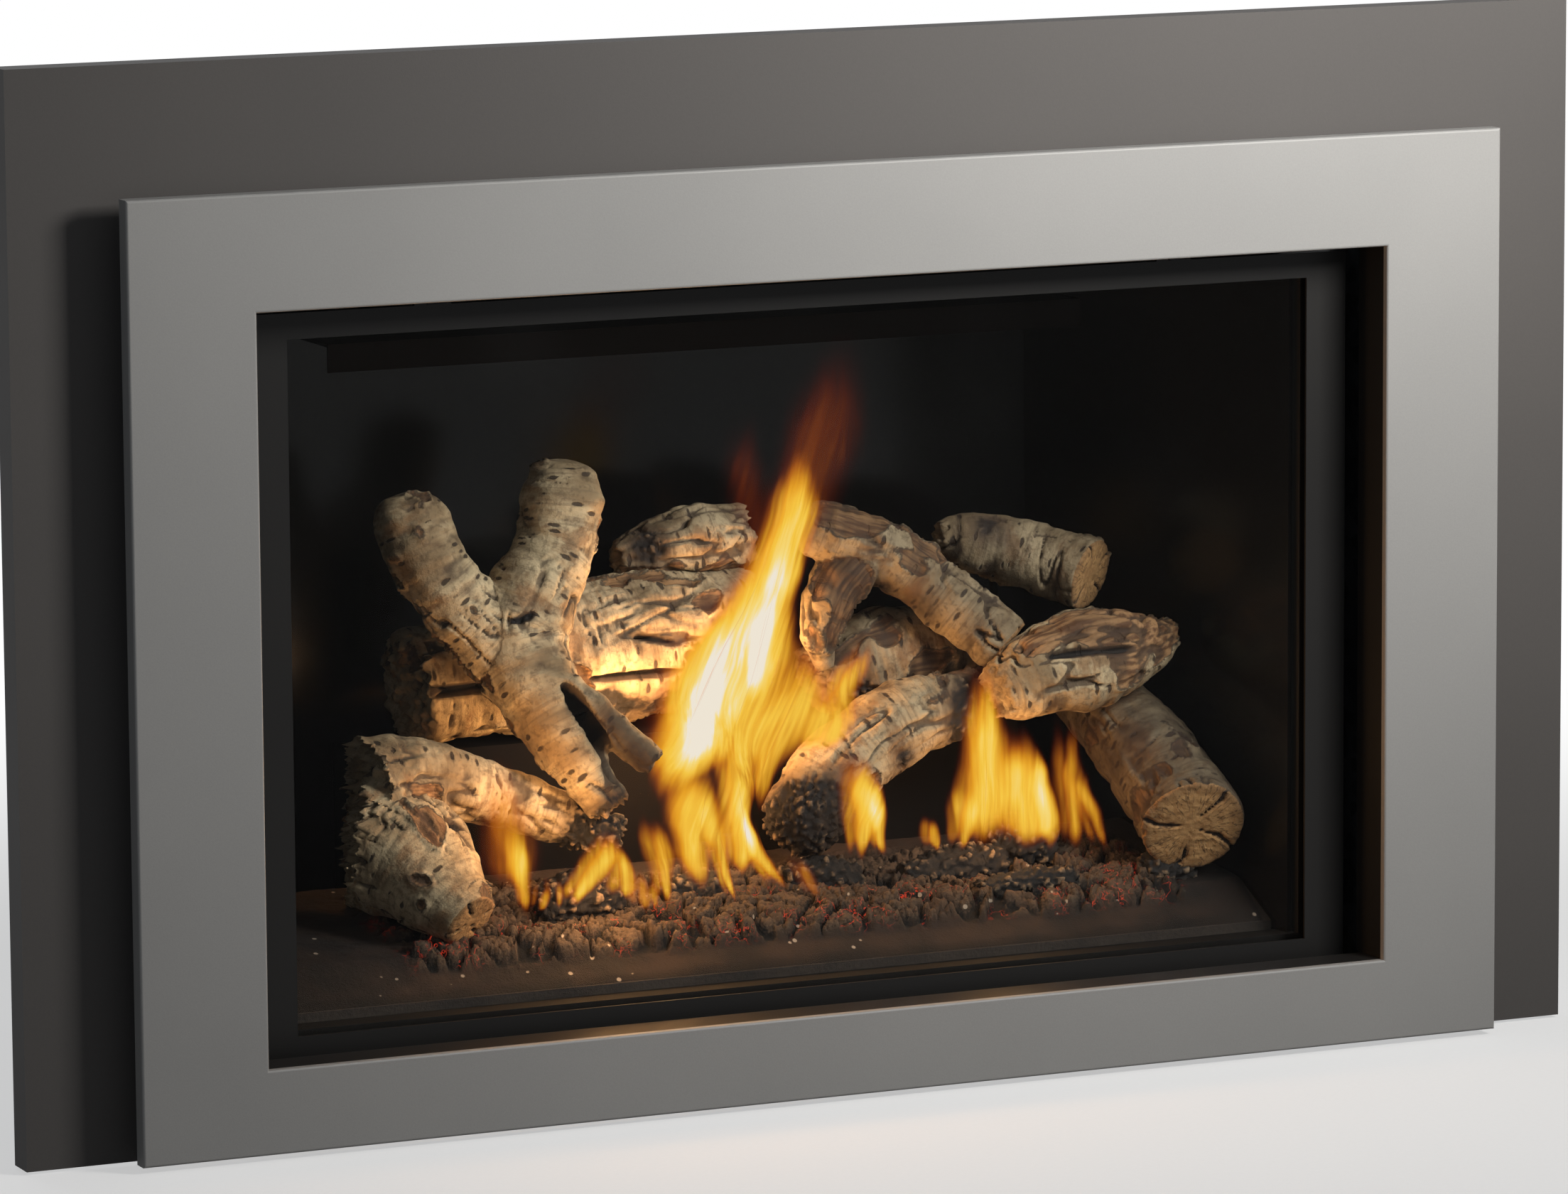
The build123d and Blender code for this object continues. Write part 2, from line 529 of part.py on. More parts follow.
def knob(x, radius, depth_front, depth_tip):
    """A fluted knob with a raised pointer rib, on a spindle that runs in the body behind it."""
    z, rear = CONTROLS_Z, PANEL_DEPTH - 2
    plane = Plane(origin=(x, y_at(rear), z), z_dir=(0, -1, 0))
    height = rear - depth_front
    body = plane * Cylinder(radius, height, align=(Align.CENTER, Align.CENTER, Align.MIN))
    body = chamfer(body.faces().sort_by(Axis.Y)[0].edges(), 1.5)
    flutes, flute_ring, flute_r, rib = 12, radius * 1.06, 1.6, radius * 0.7
    for i in range(flutes):
        a = 2 * pi * (i + 0.5) / flutes
        fx, fz = x + flute_ring * cos(a), z + flute_ring * sin(a)
        body -= rod((fx, depth_front - 1, fz), (fx, rear - 3, fz), flute_r)
    body += block(x - 1.5, x + 1.5, depth_front - 2.5, depth_front + 1, z - rib, z + rib)
    return body + rod((x, rear, z), (x, depth_tip, z), PIN_R)


def gas_inlet():
    """Hex nipple through the casing's right side: a half-inch pipe end outside, the feed inside."""
    z, depth, outside = CONTROLS_Z, INLET_DEPTH, CASE_HALF
    body = rod((VALVE_X + 50, depth, z), (outside + 4, depth, z), FEED_R)
    body += extrude(Plane(origin=(outside, y_at(depth), z), z_dir=(1, 0, 0))
                    * RegularPolygon(14, 6, major_radius=False), amount=8)
    body += rod((outside + 8, depth, z), (outside + 30, depth, z), 10.65)
    return body - rod((outside + 10, depth, z), (outside + 31, depth, z), 7)


def control_panel(x0, x1, holes):
    """A folded plate in front of the controls, with a clearance hole for each."""
    plate = block(x0, x1, PANEL_DEPTH, PANEL_DEPTH + 1.5, INSIDE_Z, 60)
    plate += block(x0, x1, PANEL_DEPTH, PANEL_DEPTH + 16, INSIDE_Z, INSIDE_Z + 1.5)
    for x, radius in holes:
        plate -= rod((x, PANEL_DEPTH - 5, CONTROLS_Z), (x, PANEL_DEPTH + 5, CONTROLS_Z), radius)
    return plate


def piezo_body():
    """Igniter barrel behind the panel with a threaded nose and a round bezel."""
    z = CONTROLS_Z
    body = rod((PIEZO_X, PANEL_DEPTH - 3, z), (PIEZO_X, PANEL_DEPTH, z), 10)
    body += rod((PIEZO_X, PANEL_DEPTH, z), (PIEZO_X, PANEL_DEPTH + 36, z), 8)
    return body - rod((PIEZO_X, PANEL_DEPTH - 4, z), (PIEZO_X, PANEL_DEPTH + 24, z), 6 + BODY_GAP)


def piezo_button():
    z = CONTROLS_Z
    cap = rod((PIEZO_X, PANEL_DEPTH - 12, z), (PIEZO_X, PANEL_DEPTH + 10, z), 6)
    return fillet(cap.faces().sort_by(Axis.Y)[0].edges(), 1.5)


def speed_box():
    """Closed housing of the fan speed control, with the dial's spindle hole and the switch's well."""
    z = CONTROLS_Z
    body = block(-335, -220, PANEL_DEPTH + 1.5, PANEL_DEPTH + 48, INSIDE_Z + 1.5, 58)
    body = fillet(body.edges().filter_by(Axis.X), 3)
    body -= rod((DIAL_X, PANEL_DEPTH, z), (DIAL_X, PANEL_DEPTH + 22, z), PIN_R + RUNNING_GAP)
    return body - rocker_well()


def rocker_well():
    z = CONTROLS_Z
    return block(ROCKER_X - 7.5, ROCKER_X + 7.5, PANEL_DEPTH - 6, PANEL_DEPTH + 14, z - 12, z + 12)


def fan_panel():
    """The left control plate with the rocker's bezel and its two pivot nubs."""
    return control_panel(-338, -217, [(DIAL_X, 8)]) + rocker_bezel() - rocker_well() + rocker_nubs()


def rocker_bezel():
    z = CONTROLS_Z
    return block(ROCKER_X - 10, ROCKER_X + 10, PANEL_DEPTH - 2, PANEL_DEPTH, z - 14, z + 14)


def rocker_nubs():
    """Round stubs on both sides of the well that the rocker's ends turn on."""
    z, d = CONTROLS_Z, PANEL_DEPTH
    left = rod((ROCKER_X - 7.5, d, z), (ROCKER_X - 5, d, z), NUB_R)
    right = rod((ROCKER_X + 5, d, z), (ROCKER_X + 7.5, d, z), NUB_R)
    return left + right


def rocker():
    """Two-lobed rocker that rests with its lower end pushed in."""
    z, half_w = CONTROLS_Z, 6.0
    d = PANEL_DEPTH
    profile = [(d + 6, z - 9), (d - 4, z - 10.5), (d - 2.5, z), (d - 4, z + 10.5), (d + 6, z + 9)]
    body = side_prism(profile, ROCKER_X - half_w, ROCKER_X + half_w)
    body -= rod((ROCKER_X - half_w, d, z), (ROCKER_X + half_w, d, z), NUB_R + RUNNING_GAP)
    turned = Axis((ROCKER_X, y_at(d), z), (1, 0, 0))
    return body.rotate(turned, ROCKER_TILT)


def power_inlet():
    """Appliance inlet in the casing's left side: flange outside, shrouded well and three blades inside."""
    x, d, z = -CASE_HALF, SOCKET_DEPTH, SOCKET_Z
    body = block(x - 2, x, d - 17, d + 17, z - 14, z + 14) + socket_shell()
    body -= block(x - 3, x + 16, d - 12, d + 12, z - 9, z + 9)
    for dd, dz in ((-7, -3), (0, 1), (7, -3)):
        body += block(x, x + 17, d + dd - 1, d + dd + 1, z + dz - 2, z + dz + 2)
    return body


def socket_shell():
    x, d, z = -CASE_HALF, SOCKET_DEPTH, SOCKET_Z
    return block(x, x + 19, d - 14, d + 14, z - 11, z + 11)


def pilot_bracket():
    """Foot plate, upright and hooded burner of the pilot, standing on the bed behind the logs."""
    x, depth = PILOT_X, PILOT_DEPTH
    deck = bed_height(depth) + 0.5
    base = block(x - 22, x + 22, depth - 8, depth + 10, deck - 2, deck + 2)
    base += block(x - 22, x + 22, depth + 8, depth + 10, deck, deck + 16)
    return base - bed_solid() + pilot_hood()


def bed_solid():
    """The bed without its hollow, for cutting the seats of what stands on it."""
    side = [(BED_FRONT, 50), (BED_FRONT, BED_FRONT_Z), (BED_BROW, BED_BROW_Z), (BED_REAR, BED_REAR_Z),
            (BED_REAR, 50)]
    return side_prism(side, -360, 360)


def pilot_hood():
    x, depth = PILOT_X, PILOT_DEPTH
    z = bed_height(depth) + 2.5
    hood = rod((x, depth, z), (x, depth, z + 20), 5)
    return hood + block(x - 8, x + 8, depth - 9, depth + 4, z + 20, z + 22)


def pilot_rod(x_shift, length):
    x, depth = PILOT_X + x_shift, PILOT_DEPTH
    z = bed_height(depth) + 2.5
    sleeve = rod((x, depth, z), (x, depth, z + 10), 3.5)
    return sleeve + rod((x, depth, z + 10), (x, depth - 6, z + length), 1.2)


# ---- blower --------------------------------------------------------------------------------------
def blower_wheel():
    """Crossflow wheel: curved blades between end discs, stiffened by a middle disc, on stub shafts."""
    d, z, half = BLOWER_DEPTH, BLOWER_Z, BLOWER_HALF
    plane = Plane(origin=(-half, y_at(d), z), x_dir=(0, 1, 0), z_dir=(1, 0, 0))
    blade = blade_section()
    blades = [Rot(0, 0, 360 * i / BLADES) * blade for i in range(BLADES)]
    wheel = plane * extrude(Sketch() + blades, amount=2 * half)
    for x in (-half, -1, half - 2):
        disc = rod((x, d, z), (x + 2, d, z), WHEEL_R)
        wheel += disc if x != -1 else disc - rod((x, d, z), (x + 2, d, z), WHEEL_HUB_R - 3)
    wheel += rod((-half - 8, d, z), (-half, d, z), PIN_R)
    wheel += rod((half, d, z), (half + 8, d, z), PIN_R)
    return biggest(wheel)


def blade_section():
    """One forward-curved blade in the wheel's plane, as a thin arc strip."""
    gauge = 0.9
    root, tip = Vector(WHEEL_HUB_R, 0), Vector(WHEEL_R - 0.6, 2.4)
    belly = (root + tip) * 0.5 + Vector(0.5, -1.1)
    front = ThreePointArc(root, belly, tip)
    back_tip, back_root = tip + Vector(-0.25, gauge), root + Vector(-0.1, gauge)
    back = ThreePointArc(back_tip, belly + Vector(-0.2, gauge), back_root)
    outline = front + Line(tip, back_tip) + back + Line(back_root, root)
    return make_face(outline)


def blower_housing():
    """Scroll round the wheel, open to the front below and to the back above, with end plates and feet."""
    d, z, half = BLOWER_DEPTH, BLOWER_Z, BLOWER_HALF
    r, gauge, end = WHEEL_R + 2.5, 1.2, half + 3
    shell = rod((-end, d, z), (end, d, z), r + gauge, r)
    shell -= block(-end + 1, end - 1, d - r - 5, d, z - 9, z + 30)
    shell -= block(-end + 1, end - 1, d, d + r + 5, z + 8, z + 30)
    for side in (-1, 1):
        x = side * end
        plate = rod((x, d, z), (x + side * 1.5, d, z), r + gauge)
        plate += block(x, x + side * 1.5, d - 14, d + 14, INSIDE_Z, z)
        plate += block(x, x + side * 14, d - 14, d + 14, INSIDE_Z, INSIDE_Z + 1.5)
        plate -= rod((x - side, d, z), (x + side * 4, d, z), PIN_R + RUNNING_GAP)
        shell += plate
    return shell


def blower_motor():
    d, z = BLOWER_DEPTH, BLOWER_Z
    x0 = BLOWER_HALF + 10
    can = rod((x0, d, z), (x0 + 36, d, z), 18)
    can = fillet(can.faces().sort_by(Axis.X)[-1].edges(), 3)
    can += block(x0 + 10, x0 + 30, d - 16, d + 16, INSIDE_Z, z - 8)
    return can


# ---- logs ----------------------------------------------------------------------------------------
def limb(stations, lumps=0.05, phase=0.0):
    """A ruled loft along (x, depth, z, radius) stations, its ring swelling and dipping by a formula."""
    centres = [Vector(x, y_at(d), z) for x, d, z, _ in stations]
    faces = []
    for i, (centre, station) in enumerate(zip(centres, stations)):
        before, after = centres[max(i - 1, 0)], centres[min(i + 1, len(centres) - 1)]
        along = (after - before).normalized()
        up = Vector(0, 0, 1) if abs(along.Z) < 0.8 else Vector(0, 1, 0)
        plane = Plane(origin=centre, x_dir=up.cross(along), z_dir=along)
        ring = []
        for k in range(SIDES):
            a = 2 * pi * k / SIDES
            r = station[3] * (1 + lumps * sin(3 * a + phase + i) + lumps * 0.6 * sin(2 * a - 1.7 * i))
            ring.append(plane.from_local_coords(Vector(r * cos(a), r * sin(a), 0)))
        faces.append(Wire.make_polygon(ring, close=True))
    return Solid.make_loft(faces, ruled=True)


def left_front_log():
    """Stout log, broken at the left, that forks into a sawn lower limb and a charred upper limb."""
    lower = limb([(-256, 178, 158, 41), (-246, 174, 156, 43), (-229, 152, 146, 40),
                  (-216, 127, 129, 30), (-206, 107, 114.5, 18.5)])
    upper = limb([(-243, 178, 190, 36), (-224, 178, 194, 29), (-200, 176, 191, 24), (-158, 174, 178, 19),
                  (-120, 165, 163, 17.5), (-86, 152, 149, 14)], phase=1.0)
    return lower + upper


def left_fork_log():
    """Branch standing in a Y, with two rounded arms above and a split foot below."""
    trunk = limb([(-97, 217, 384, 10), (-97, 217, 378, 19), (-98, 215, 362, 26),
                  (-105, 208, 331, 25.5), (-122, 201, 303, 30), (-136, 197, 275, 33.5),
                  (-131, 178, 245, 29), (-117, 156, 211, 22), (-94, 140, 172, 15)])
    arm = limb([(-207, 220, 368, 10), (-205, 219, 362, 19), (-200, 216, 349, 24), (-189, 207, 321, 24.5),
                (-171, 200, 293, 25), (-146, 192, 266, 24)], phase=2.0)
    prong = limb([(-131, 174, 252, 12), (-115, 162, 235, 14), (-100, 154, 219, 13), (-73, 140, 193, 9)],
                 phase=0.5)
    return trunk + arm + prong


def rear_log():
    """The long log at the back, with the open crack that runs along its left half."""
    body = limb([(-186, 258, 236, 37), (-140, 259, 241, 40), (-72, 259, 250, 46),
                 (-16, 260, 255, 47), (52, 261, 258, 40)], lumps=0.03)
    crack = [(210, 237), (234, 239.5), (210, 242)]
    return body - side_prism(crack, -250, -96)


def rear_top_log():
    """Short broken piece lying on the rear log."""
    return limb([(-38, 266, 311, 11), (-14, 267, 312, 21), (20, 268, 315, 24.5), (54, 268, 321, 19)],
                lumps=0.12)


def arch_log():
    """Bent branch: a flared tip, a spine falling to a sawn end, and a leg tapering down to a point."""
    spine = limb([(70, 233, 330, 8), (87, 229, 325, 18), (113, 223, 315, 21), (136, 219, 305, 21),
                  (160, 212, 288, 21), (181, 199, 268, 21), (202, 184, 247, 19)])
    leg = limb([(118, 221, 308, 17), (98, 218, 292, 18), (87, 215, 274, 16.5), (83, 214, 256, 12),
                (88, 217, 237, 6)], phase=1.4)
    return spine + leg


def center_rear_log():
    return limb([(92, 240, 222, 24), (122, 242, 232, 31), (160, 243, 236, 31), (206, 244, 232, 27)],
                lumps=0.06)


def center_front_log():
    """Charred log that rises to the right behind the front flames."""
    return limb([(38, 176, 132, 15), (52, 178, 145, 26), (88, 185, 181, 27.5), (127, 190, 201, 27),
                 (173, 193, 211, 22), (208, 196, 219, 13)], lumps=0.08)


def right_mid_log():
    """Split log: thick in the middle with a weathered upper face, thinning to a torn tip."""
    return limb([(183, 160, 221, 18), (200, 162, 226, 26), (226, 164, 233, 31), (256, 166, 238, 33),
                 (288, 165, 243, 24), (314, 161, 252, 9)], lumps=0.07, phase=0.6)


def rear_right_log():
    """Short log over the right end of the set, rounded at the back and sawn towards the viewer."""
    return limb([(187, 255, 311, 9), (197, 255, 309, 17), (218, 250, 304, 21), (243, 238, 297, 23),
                 (262, 221, 291, 24), (274, 205, 286, 24)], lumps=0.05)


def right_front_log():
    """Big sawn round pointing at the viewer, with a split running back from its lower left edge."""
    body = limb([(297, 104, 133, 34), (300, 118, 140, 34.5), (297, 140, 155, 33.5), (293, 165, 174, 31.5),
                 (288, 196, 190, 29.5), (284, 236, 204, 25)], lumps=0.03)
    split = plan_prism([(248, 88), (268, 88), (277, 99), (262, 172), (255, 172)], 118, 121)
    return body - split


def char_blocks():
    """Charred lumps that prop the front logs up from the bed."""
    made = []
    places = ((-118, 150, 62, 38, 26, 8), (62, 166, 50, 26, 30, -14), (150, 158, 74, 26, 28, 5),
              (208, 176, 46, 40, 30, -8), (-28, 172, 54, 24, 28, 12), (-190, 196, 60, 34, 40, -6),
              (292, 130, 34, 30, 34, 6))
    for x, depth, length, tall, wide, turn in places:
        z = bed_height(depth) - 4
        base = Rectangle(length, wide)
        lump = extrude(base, amount=tall, taper=9)
        made.append(Pos(x, y_at(depth), z) * Rot(0, 0, turn) * lump)
    return made


def charcoal():
    """Cracked embers: rows of small tapered lumps over the brow and the front of the deck."""
    lumps = []
    for row in range(4):
        depth = 101 + 17 * row
        for i in range(20):
            x = -232 + 26.5 * i + 11 * (row % 2) + 4 * sin(5 * i + 3 * row)
            wide, long = 19 + 2.5 * sin(7 * i + row), 13 + 1.5 * cos(4 * i)
            tall = 11 + 3 * sin(3 * i + 2 * row)
            turn = 25 * sin(11 * i + 5 * row)
            lump = extrude(Rectangle(wide, long), amount=tall, taper=18)
            spot = Pos(x, y_at(depth + 2 * sin(9 * i)), bed_height(depth) - 5)
            lumps.append(spot * Rot(0, 0, turn) * lump)
    return lumps


def rear_ledge():
    """Folded shelf that carries the back logs, with the pin that the rear right log is set down on."""
    g, d0, d1 = 2.0, LEDGE_FRONT, LEDGE_REAR
    left, right = -222, 240
    shelf = block(left, right, d0, d1, LEDGE_TOP - g, LEDGE_TOP)
    shelf += block(left, right, d0, d0 + g, BOX_FLOOR, LEDGE_TOP)
    for x in (left, right - g):
        shelf += block(x, x + g, d0, d1, BOX_FLOOR, LEDGE_TOP)
    pin_x, pin_depth, pin_top = 226, 252, 300
    return shelf + rod((pin_x, pin_depth, LEDGE_TOP - g), (pin_x, pin_depth, pin_top), PIN_R)


def seat(piece, under):
    """Cut the seats of the pieces underneath out of a piece that rests on them."""
    for other in under:
        near = piece.bounding_box().overlaps(other.bounding_box())
        if near and piece.solids():
            piece = piece - other
    return biggest(piece) if piece.solids() else None


def build_fire():
    """Bed, ledge and logs, each log notched where it rests on the ones before it."""
    bed, ledge = bed_solid(), rear_ledge()
    order = [("rear_log", rear_log()), ("center_rear_log", center_rear_log()), ("char_blocks", None),
             ("right_front_log", right_front_log()), ("left_front_log", left_front_log()),
             ("center_front_log", center_front_log()), ("right_mid_log", right_mid_log()),
             ("rear_top_log", rear_top_log()), ("left_fork_log", left_fork_log()),
             ("rear_right_log", rear_right_log()), ("arch_log", arch_log())]
    laid, blocks = [bed, ledge], []
    for node, shape in order:
        if node == "char_blocks":
            blocks = [seat(b, laid) for b in char_blocks()]
            laid += blocks
            continue
        shape = seat(shape, laid)
        laid.append(shape)
        keep(node, shape)
    lumps = [seat(lump, laid) for lump in charcoal()]
    keep("charcoal", *blocks, *[lump for lump in lumps if lump and lump.volume > SMALLEST_LUMP])
    keep("rear_ledge", ledge)


# ---- assembly ------------------------------------------------------------------------------------
def build():
    keep("face_frame", face_frame())
    keep("face_collar", face_collar())
    keep("surround_panel", surround_panel())

    side = casing_side()
    keep("casing_left", side - socket_shell())
    feed = rod((CASE_HALF - 5, INLET_DEPTH, CONTROLS_Z), (CASE_HALF + 5, INLET_DEPTH, CONTROLS_Z), FEED_R)
    keep("casing_right", mirrored(side) - feed)
    keep("casing_base", casing_base())
    keep("casing_top", casing_top())
    keep("casing_back", casing_back())
    for place, (x, depth) in FOOT_PLACES.items():
        keep("foot_" + place, levelling_foot(x, depth))

    keep("firebox", firebox())
    liner = liner_side()
    keep("liner_left", liner)
    keep("liner_right", mirrored(liner))
    keep("liner_back", liner_back())
    keep("baffle_plate", baffle_plate())
    keep("firebox_supports", *firebox_legs(), *firebox_standoffs())
    keep("exhaust_collar", flue_collar(EXHAUST_X, EXHAUST_R))
    keep("intake_collar", flue_collar(INTAKE_X, INTAKE_R))

    keep("door_frame", door_frame())
    keep("door_gaskets", glass_tape(), rope_gasket())
    keep("glass_pane", glass_pane())
    keep("glass_clips", *glass_clips())
    keep("door_hinge_brackets", *door_hinge_brackets())
    keep("latch_left", latch_lever(-1))
    keep("latch_right", latch_lever(1))
    keep("latch_brackets", *latch_brackets())

    keep("burner_base", burner_base())
    keep("burner_tube", burner_tube())
    keep("air_shutter", air_shutter())
    keep("manifold_pipe", manifold_pipe())
    keep("gas_valve", gas_valve())
    keep("gas_inlet", gas_inlet())
    keep("valve_knob", knob(VALVE_X - 20, 14, 70, VALVE_FRONT + 14))
    keep("flame_knob", knob(VALVE_X + 20, 12, 73, VALVE_FRONT + 14))
    holes = [(VALVE_X - 20, 8), (VALVE_X + 20, 8), (PIEZO_X, 8)]
    keep("valve_panel", control_panel(195, 338, holes) + piezo_body())
    keep("piezo_button", piezo_button())
    keep("pilot_bracket", pilot_bracket())
    keep("pilot_electrodes", pilot_rod(-13, 26), pilot_rod(13, 24))

    keep("speed_box", speed_box())
    keep("speed_dial", knob(DIAL_X, 12, 73, PANEL_DEPTH + 20))
    keep("fan_panel", fan_panel())
    keep("rocker", rocker())
    keep("power_inlet", power_inlet())
    keep("blower_housing", blower_housing())
    keep("blower_wheel", blower_wheel())
    keep("blower_motor", blower_motor())

    build_fire()


build()
os.makedirs("parts", exist_ok=True)
for node, shape in PARTS.items():
    export_step(shape, f"parts/{node}.step")
print(len(PARTS), "nodes")
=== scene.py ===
"""Looks for the gas fireplace insert: finishes on its solids, the birch logs, embers, flames and light.

Metres in Blender. The lists here are in the maker's millimetres: x to the right, depth back from the
front of the face, and height above the hearth.
"""
import math
from itertools import product

import bpy
import numpy as np
from mathutils import Matrix, Vector
from numpy.linalg import norm


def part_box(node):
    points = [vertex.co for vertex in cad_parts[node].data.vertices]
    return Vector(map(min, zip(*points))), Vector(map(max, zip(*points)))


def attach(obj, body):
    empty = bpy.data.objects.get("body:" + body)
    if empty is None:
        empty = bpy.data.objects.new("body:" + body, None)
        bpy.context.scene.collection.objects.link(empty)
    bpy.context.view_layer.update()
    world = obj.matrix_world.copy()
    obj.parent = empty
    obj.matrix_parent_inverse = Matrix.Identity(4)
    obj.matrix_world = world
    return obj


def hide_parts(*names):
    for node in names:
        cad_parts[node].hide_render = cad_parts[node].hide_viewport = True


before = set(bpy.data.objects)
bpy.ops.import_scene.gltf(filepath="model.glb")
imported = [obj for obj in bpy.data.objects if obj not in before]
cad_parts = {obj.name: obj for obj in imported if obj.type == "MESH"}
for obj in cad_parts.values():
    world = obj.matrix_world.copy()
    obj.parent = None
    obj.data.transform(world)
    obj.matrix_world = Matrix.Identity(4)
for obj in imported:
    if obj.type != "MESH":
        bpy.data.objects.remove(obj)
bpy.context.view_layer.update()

MM = 0.001
FRONT_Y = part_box("face_frame")[0].y
SEED = 7
MIRRORED = 0.5


def spot(x, depth, z):
    """The point in metres at an x, a depth behind the face's front and a height, in millimetres."""
    return (x * MM, FRONT_Y + depth * MM, z * MM)


def paint(red, green, blue):
    """A screen colour, 0 to 255, as a shader's linear colour."""
    def linear(value):
        share = value / 255
        return share / 12.92 if share <= 0.04045 else ((share + 0.055) / 1.055) ** 2.4
    return (linear(red), linear(green), linear(blue), 1.0)


# ---- writing a finish ----
def operation(kind, swapped=False):
    """A method that joins a wire to other wires or values with a Math node."""
    def joined(self, *others):
        values = (self, *others)
        return self.finish.node("ShaderNodeMath", {"operation": kind}, values[::-1] if swapped else values)
    return joined


class Wire:
    """One output of a finish's nodes."""

    def __init__(self, finish, socket):
        self.finish = finish
        self.socket = socket

    __add__ = __radd__ = operation("ADD")
    __sub__ = operation("SUBTRACT")
    __rsub__ = operation("SUBTRACT", swapped=True)
    __mul__ = __rmul__ = operation("MULTIPLY")
    __abs__ = operation("ABSOLUTE")
    most = operation("MAXIMUM")
    least = operation("MINIMUM")

    def within(self):
        """Held between 0 and 1."""
        return self.most(0).least(1)

    def rise(self, low, high):
        """0 below low and 1 above high, smooth between. It falls where low is the greater."""
        settings = {"interpolation_type": "SMOOTHSTEP"}
        return self.finish.node("ShaderNodeMapRange", settings, {0: self, 1: low, 2: high})


class Finish:
    """A new material, or a world that is handed in, written node by node."""

    def __init__(self, name, world=None):
        self.owner = world or bpy.data.materials.new(name)
        self.owner.use_nodes = True
        self.tree = self.owner.node_tree
        self.tree.nodes.clear()

    def node(self, kind, settings=None, sockets=(), out=0):
        """Adds a node, sets it up, then fills its sockets with values or wires."""
        made = self.tree.nodes.new(kind)
        for name, value in (settings or {}).items():
            if name == "stops":
                self.set_stops(made.color_ramp, value)
            else:
                setattr(made, name, value)
        pairs = sockets.items() if isinstance(sockets, dict) else enumerate(sockets)
        for key, value in pairs:
            if isinstance(value, Wire):
                self.tree.links.new(value.socket, made.inputs[key])
            else:
                made.inputs[key].default_value = value
        return Wire(self, made.outputs[out])

    def set_stops(self, ramp, stops):
        """Gives a colour ramp its stops, each a position and a colour."""
        while len(ramp.elements) < len(stops):
            ramp.elements.new(1.0)
        for element, (position, colour) in zip(ramp.elements, stops):
            element.position = position
            element.color = colour

    def where(self):
        """The point in the model's own metres."""
        return self.node("ShaderNodeTexCoord", out="Object")

    def kept(self, name, out="Fac"):
        """A value or vector that the mesh carries."""
        return self.node("ShaderNodeAttribute", {"attribute_name": name}, out=out)

    def stretched(self, vector, scales):
        return self.node("ShaderNodeVectorMath", {"operation": "MULTIPLY"}, {0: vector, 1: scales})

    def noise(self, vector, scale, detail=2, rough=0.5):
        sockets = {"Vector": vector, "Scale": scale, "Detail": detail, "Roughness": rough}
        return self.node("ShaderNodeTexNoise", sockets=sockets)

    def streaks(self, vector, scales, detail=2, rough=0.5):
        """Noise with a scale of its own along each axis."""
        return self.noise(self.stretched(vector, scales), 1, detail, rough)

    def cells(self, vector, scale, out="Distance"):
        return self.node("ShaderNodeTexVoronoi", sockets={"Vector": vector, "Scale": scale}, out=out)

    def channel(self, colour):
        """The first channel of a random colour, as a number."""
        return self.node("ShaderNodeSeparateColor", sockets=(colour,))

    def mix(self, share, first, second):
        """first where share is 0, second where it is 1: wires, or screen colours as (red, green, blue)."""
        first, second = (c if isinstance(c, Wire) else paint(*c) for c in (first, second))
        return self.node("ShaderNodeMix", {"data_type": "RGBA"}, {0: share, 6: first, 7: second}, 2)

    def body(self, **sockets):
        """A Principled shader, its sockets named with underscores for spaces."""
        named = {name.replace("_", " "): value for name, value in sockets.items()}
        return self.node("ShaderNodeBsdfPrincipled", sockets=named)

    def done(self, shader, kind="Material"):
        """Ends the nodes at the output of a material or a world, which it returns."""
        output = self.tree.nodes.new("ShaderNodeOutput" + kind)
        self.tree.links.new(shader.socket, output.inputs["Surface"])
        return self.owner

    def skin(self, colour, roughness, height, distance, **more):
        """A finished surface: its colour, its roughness and bumps of a greatest height in metres."""
        bumps = self.node("ShaderNodeBump", sockets={"Height": height, "Distance": distance, "Strength": 1.0})
        return self.done(self.body(Base_Color=colour, Roughness=roughness, Normal=bumps, **more))

    def looked_at(self):
        """1 for what the camera sees straight or through glass, less if mirrored, 0 for light on the part."""
        rays = ("Camera", "Transmission", "Glossy")
        straight, through, mirrored = (self.node("ShaderNodeLightPath", out=f"Is {ray} Ray") for ray in rays)
        return straight.most(through).most(mirrored * MIRRORED)


# ---- metal, glass and plastic ----
PEEL, SCRATCH = 0.00003, 0.00002


def sprayed(name, low, high, rough, grain, grain_mm=0.8, metal=0, shine=0.2):
    """Sprayed coating: grain between two colours, soft clouds and a faint orange peel."""
    f = Finish(name)
    where = f.where()
    cloud = f.noise(where, 7, 3)
    fleck = f.noise(where, 1 / (grain_mm * MM), 2, 0.7)
    share = (cloud * 0.35 + fleck * grain + (0.325 - grain / 2)).within()
    peel = f.noise(where, 900, 1)
    roughness = cloud * 0.12 + (rough - 0.06)
    return f.skin(f.mix(share, low, high), roughness, peel, PEEL, Metallic=metal, Specular_IOR_Level=shine)


